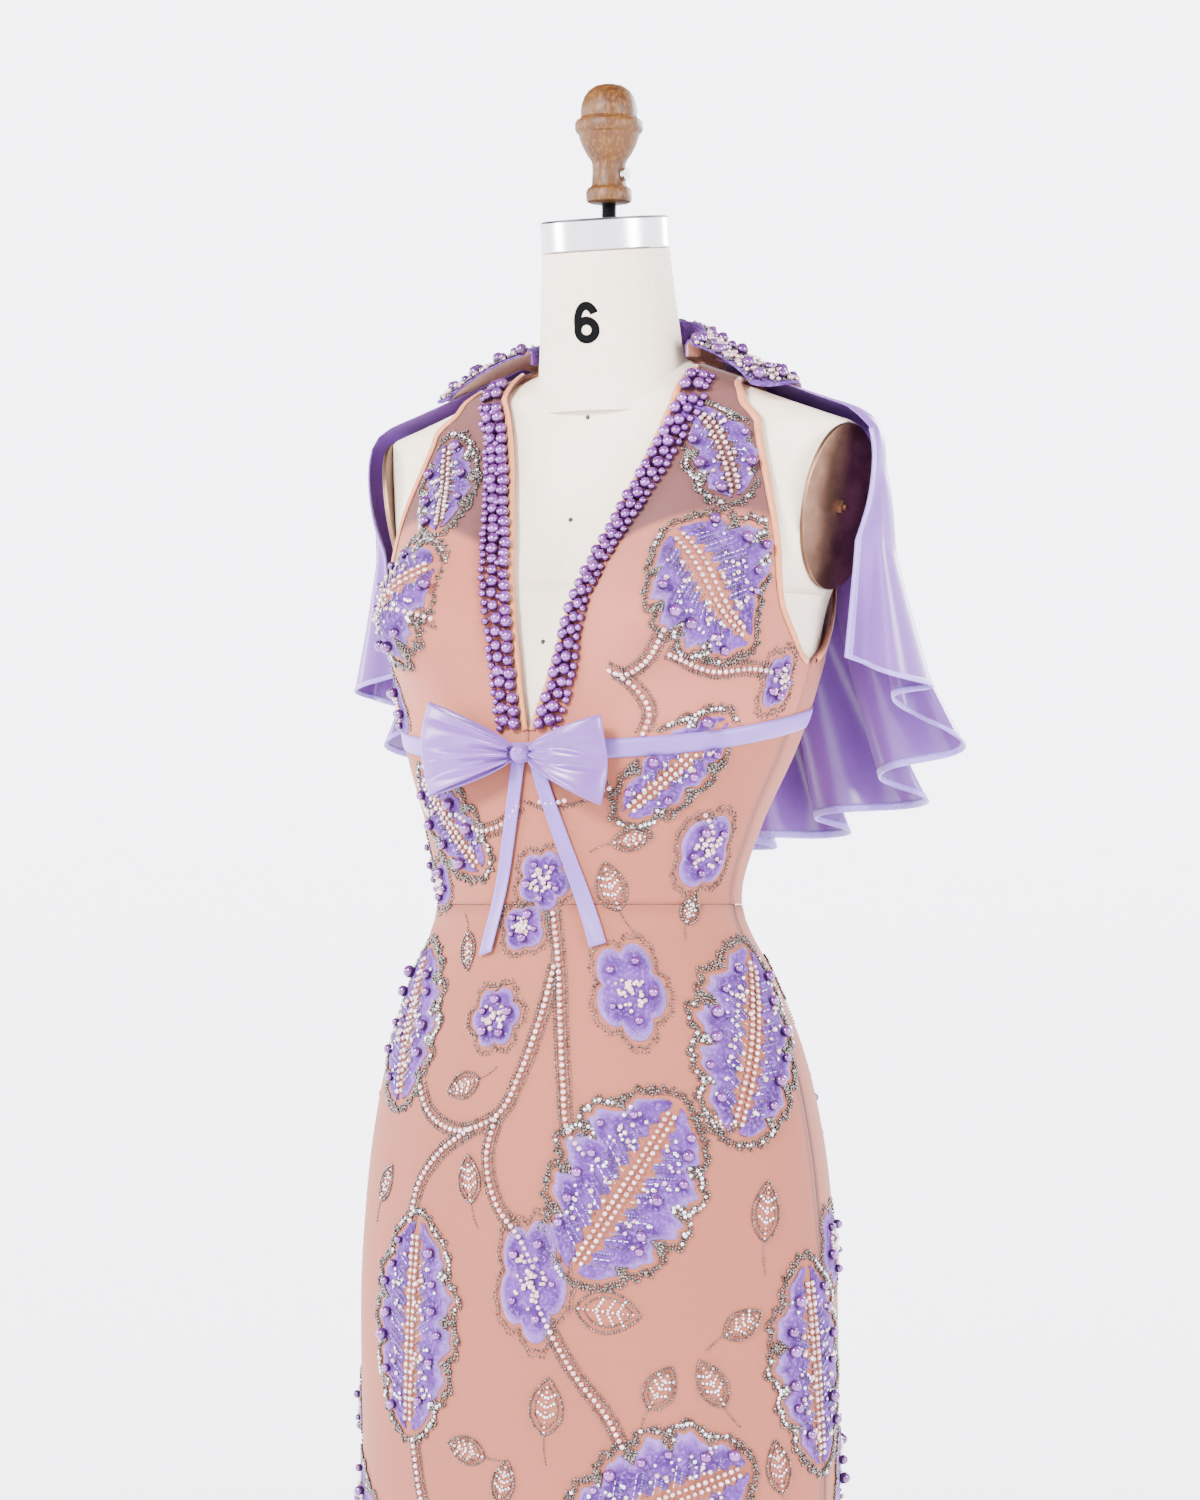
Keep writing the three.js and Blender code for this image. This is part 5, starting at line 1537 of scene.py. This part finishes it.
class DRESS_OT_ribbon_bow(bpy.types.Operator):
    """Makes the underbust ribbon and its bow."""

    bl_idname = "dress.ribbon_bow"
    bl_label = "Ribbon and bow"

    def execute(self, context):
        paints = finishes(context.scene.dress)

        def band(u, v):
            eta = 360 * u
            z = underbust(eta) + (v - 0.5) * RIBBON_WIDE + 0.5 * np.sin(np.radians(eta) * 5)
            return over(eta, z, WALL + 1.5 - 0.5 * np.abs(2 * v - 1) ** 3)

        piece = cloth(
            "underbust_ribbon", 180, 4, band, "ribbon", [paints["ribbon"]], "waist_ribbon", thick=0.8,
            closed=True
        )
        for name, side, reach, tall, rise, node in (
            ("bow_left", 1, 54, 60, -5, "bow_loop_left"), ("bow_right", -1, 70, 64, 4, "bow_loop_right")
        ):
            def loop(u, v, side=side, reach=reach, tall=tall, rise=rise):
                q = 2 * v - 1
                w = mix(0.03, 0.97, u) * 2 * np.pi
                out = (1 - np.cos(w)) / 2
                half = mix(5.2, tall / 2, out**0.85)
                crease = np.abs(np.sin(q * 4.6 + 0.6 * side + 0.5 * out)) ** 0.55 - 0.6
                dent = np.exp(-((q - 0.35 * side + 0.5 * out - 0.2) / 0.13) ** 2)
                dent = dent + 0.8 * np.exp(-((q + 0.45 - 0.3 * out) / 0.1) ** 2)
                gathers = 2.6 * np.sin(q * 8.5) * (1 - out) ** 1.2
                creases = 4.2 * crease * (1 - 0.75 * out**2) * np.sin(w)
                waves = 2.4 * np.sin(q * 3.2 + 2 * side) * out
                dents = 3.6 * dent * np.sin(w) * (0.35 + out) * (1 - 0.6 * out**3)
                x = side * (7.8 + reach * out * (1 - 0.05 * q * q))
                y = KNOT_Y + 7.2 * np.sin(w) + gathers + creases + waves - dents + 5 * out * out
                return np.stack([x, y, KNOT_Z + rise * out + half * q], -1)

            piece = cloth(name, 72, 30, loop, "satin", [paints["satin"]], node, thick=0.7, side=0)
        for name, start, end, end_z, node in (
            ("tail_right", -5.5, -31, 1016, "bow_tail_right"), ("tail_left", 6.5, 49, 1022, "bow_tail_left")
        ):
            def hang(u, v, start=start, end=end, end_z=end_z):
                x = mix(start, end, v**1.1) + (u - 0.5) * TAIL_WIDE
                z = mix(TAIL_Z, end_z, v) + (u - 0.5) * 3 * v
                lift = 3.9 + 0.9 * np.sin(v * 9) * v + 0.6 * np.abs(2 * u - 1) ** 2
                return over(np.sign(x) * eta_at(x, z), z, lift)

            piece = cloth(name, 8, 60, hang, "ribbon", [paints["ribbon"]], node, thick=0.6, side=0)
        bm = bmesh.new()
        bmesh.ops.create_uvsphere(bm, u_segments=40, v_segments=24, radius=0.5)
        for v in bm.verts:
            x, y, z = v.co
            fold = 1 + 0.10 * math.cos(z * 22) * (1 - 2 * abs(x))
            v.co = (x * 15.4, y * 13 * fold, z * 13)
        bmesh.ops.translate(bm, vec=(0, KNOT_Y + 1, KNOT_Z), verts=bm.verts)
        bmesh.ops.scale(bm, vec=(MM, MM, MM), verts=bm.verts)
        piece_from(bm, "bow_tie", "satin", paints["satin"], "bow_knot")
        return {"FINISHED"}


class DRESS_OT_embroidery(bpy.types.Operator):
    """Makes the velvet leaves and flowers and every bead, pearl and sequin."""

    bl_idname = "dress.embroidery"
    bl_label = "Embroidery and pearls"

    def execute(self, context):
        settings = context.scene.dress
        paints = finishes(settings)
        rng = np.random.default_rng(settings.seed)
        work = Embroidery(rng)
        for leaf in LEAVES:
            work.leaf(*leaf)
        for flower in FLOWERS:
            work.flower(*flower)
        for sprig in SPRIGS:
            work.sprig(*sprig)
        for stem in STEMS:
            work.stem(stem)
        velvet = work.make_velvet(
            paints["velvet"], "leaf_bust_left", "leaf_bust_right", "leaf_midriff_right", "leaf_hip_right",
            "leaf_hip_left", "leaf_thigh_left", "leaf_thigh_right", "leaf_knee_left"
        )
        for name, low, high in (
            ("silver_seeds_top", 900, 2000), ("silver_seeds_middle", 560, 900), ("silver_seeds_low", 0, 560)
        ):
            work.seeds.between(low, high).make(
                name, "seed", "silver_bead", paints["silver"], rng=rng, smooth=False
            )
        work.blue.make("blue_seeds", "seed", "silver_bead", paints["blue"], rng=rng, smooth=False)
        work.bugles.make("silver_bugles", "bugle", "silver_bead", paints["sequin"], rng=rng, smooth=False)
        work.white.make("white_pearls", "small", "white_pearl", paints["white"], rng=rng)
        work.purple.make("purple_pearls", "pearl", "pearl", paints["purple"], rng=rng)
        work.sequins.make("sequins", "sequin", "sequin", paints["sequin"], rng=rng, smooth=False)
        for word, side in (("left", 1), ("right", -1)):
            band = pearl_band(side, settings.pearl_radius / MM, rng)
            band.make(
                f"v_pearls_{word}", "pearl", "pearl", paints["purple"], f"pearl_band_{word}", rng=rng
            )
        on_collar = {kind: collar_scatter(kind, count, radius, rng) for kind, count, radius in COLLAR_BEADS}
        on_collar["seed"].make(
            "collar_seeds", "seed", "silver_bead", paints["silver"], rng=rng, smooth=False
        )
        on_collar["small"].make("collar_whites", "small", "white_pearl", paints["white"], rng=rng)
        on_collar["pearl"].make("collar_pearls", "pearl", "pearl", paints["purple"], rng=rng)
        return {"FINISHED"}


def pearl_band(side, big, rng):
    """The large pearls along one side of the V, in columns."""
    pearls = Beads()
    t = np.linspace(0.065, 0.962, 400)
    for offset, pitch, share, start, height in PEARL_COLUMNS:
        eta, z, across = edge_frame(v_edge, t, side)
        run = beside(eta, z, across * side * offset, np.full(len(t), WALL))
        arc = np.concatenate([[0], np.cumsum(np.linalg.norm(np.diff(run, axis=0), axis=1))])
        at = np.arange(pitch * start, arc[-1], pitch)
        at = at + rng.normal(0, 0.35, len(at))
        eta, z, across = edge_frame(v_edge, np.interp(at, arc, t), side)
        size = big * share * (1 + 0.16 * (rng.random(len(at)) - 0.5))
        shift = side * (offset + rng.normal(0, 0.5, len(at)))
        pearls.add(beside(eta, z, across * shift[:, None], WALL + size * height), size, outward(eta, z))
    return pearls


def collar_scatter(kind, count, radius, rng):
    """Beads strewn over the fall of the collar. Pearls keep clear of its edges."""
    beads, step = Beads(), 0.004
    u, v = rng.random(count), 0.36 + 0.62 * rng.random(count) ** 0.8
    if kind == "pearl":
        v = np.clip(v, 0.4, 0.93)
    along = collar_point(np.clip(u + step, 0, 1), v) - collar_point(np.clip(u - step, 0, 1), v)
    up = unit(np.cross(collar_point(u, v + step) - collar_point(u, v - step), along))
    up *= np.sign(up[:, 2:] + 1e-9)
    size = radius * (1 + 0.5 * (rng.random(count) - 0.5))
    beads.add(collar_point(u, v) + up * (0.7 + size * 0.8)[:, None], size, up)
    return beads


def floor(scene):
    """The pale floor, which curves up into a wall all round."""
    bm = spun(FLOOR, 72, 1e-5)
    if sum(face.normal.z for face in bm.faces) < 0:
        bmesh.ops.reverse_faces(bm, faces=bm.faces)
    pale = Finish(
        "pale_floor", Roughness=0.9, Base_Color=(0.93, 0.93, 0.96, 1),
        Emission_Color=(0.93, 0.93, 1.0, 1), Emission_Strength=2.8
    )
    ground = bpy.data.objects.new("floor", mesh_from(bm, "floor", pale.material))
    ground.data.shade_smooth()
    scene.collection.objects.link(ground)


def haze(scene):
    """Surroundings of soft light and dark patches, for the pearls and the satin to reflect."""
    world = bpy.data.worlds.new("studio")
    world.use_nodes = True
    sky = world.node_tree.nodes["Background"]
    sky.inputs["Strength"].default_value = 1.5
    tree = world.node_tree
    where, cloud, ramp = (
        tree.nodes.new(kind)
        for kind in ("ShaderNodeTexCoord", "ShaderNodeTexNoise", "ShaderNodeValToRGB")
    )
    cloud.inputs["Scale"].default_value = 1.3
    cloud.inputs["Detail"].default_value = 1
    ramp.color_ramp.elements[0].position, ramp.color_ramp.elements[1].position = 0.40, 0.56
    ramp.color_ramp.elements[0].color = (0.16, 0.16, 0.18, 1)
    ramp.color_ramp.elements[1].color = (0.95, 0.95, 1.0, 1)
    tree.links.new(where.outputs["Generated"], cloud.inputs["Vector"])
    tree.links.new(cloud.outputs["Fac"], ramp.inputs["Fac"])
    tree.links.new(ramp.outputs["Color"], sky.inputs["Color"])
    scene.world = world


def lights(scene, power):
    """Four round area lights, aimed at the bust."""
    for name, (azimuth, height, away, size, share) in LIGHTS.items():
        light = bpy.data.lights.new(name, "AREA")
        light.shape, light.size = "DISK", size
        light.energy = power * share
        obj = bpy.data.objects.new(name, light)
        w = math.radians(azimuth)
        obj.location = (away * math.sin(w), -away * math.cos(w), height)
        obj.rotation_euler = (Vector((0, 0, LIT_Z)) - obj.location).to_track_quat("-Z", "Y").to_euler()
        scene.collection.objects.link(obj)


def camera(scene, settings):
    """The camera, level with the middle of the figure."""
    turn = math.radians(settings.azimuth)
    lens = bpy.data.cameras.new("camera")
    lens.sensor_fit, lens.sensor_height = "VERTICAL", SENSOR
    lens.lens = SENSOR * settings.distance / settings.field
    lens.shift_y = CAMERA_RISE
    obj = bpy.data.objects.new("camera", lens)
    away = settings.distance
    obj.location = (
        away * math.sin(turn) + CAMERA_ASIDE * math.cos(turn),
        -away * math.cos(turn) + CAMERA_ASIDE * math.sin(turn), CAMERA_Z
    )
    obj.rotation_euler = (math.pi / 2, 0, turn)
    scene.collection.objects.link(obj)
    scene.camera = obj


class DRESS_OT_stage(bpy.types.Operator):
    """Sets the pale floor, the soft lights and the camera."""

    bl_idname = "dress.stage"
    bl_label = "Stage"

    def execute(self, context):
        settings = context.scene.stage_settings
        scene = context.scene
        floor(scene)
        haze(scene)
        lights(scene, settings.light)
        camera(scene, settings)
        return {"FINISHED"}


class DRESS_PT_panel(bpy.types.Panel):
    """Lists the pieces of the dress and the stage."""

    bl_idname = "DRESS_PT_panel"
    bl_label = "Cape evening dress"
    bl_space_type = "VIEW_3D"
    bl_region_type = "UI"
    bl_category = "Dress"

    def draw(self, context):
        for group in (context.scene.dress, context.scene.stage_settings):
            for name in group.__annotations__:
                self.layout.prop(group, name)
        for operator in OPERATORS:
            self.layout.operator(operator.bl_idname)


OPERATORS = (
    DRESS_OT_form, DRESS_OT_stand, DRESS_OT_panels, DRESS_OT_collar_cape, DRESS_OT_ribbon_bow,
    DRESS_OT_embroidery, DRESS_OT_stage
)
CLASSES = (DressSettings, StageSettings, *OPERATORS, DRESS_PT_panel)


def register():
    for cls in CLASSES:
        bpy.utils.register_class(cls)
    bpy.types.Scene.dress = PointerProperty(type=DressSettings)
    bpy.types.Scene.stage_settings = PointerProperty(type=StageSettings)


def unregister():
    del bpy.types.Scene.stage_settings
    del bpy.types.Scene.dress
    for cls in reversed(CLASSES):
        bpy.utils.unregister_class(cls)


def main():
    register()
    bpy.ops.dress.form()
    bpy.ops.dress.stand()
    bpy.ops.dress.panels()
    bpy.ops.dress.collar_cape()
    bpy.ops.dress.ribbon_bow()
    bpy.ops.dress.embroidery()
    bpy.ops.dress.stage()


if __name__ == "__main__":
    main()
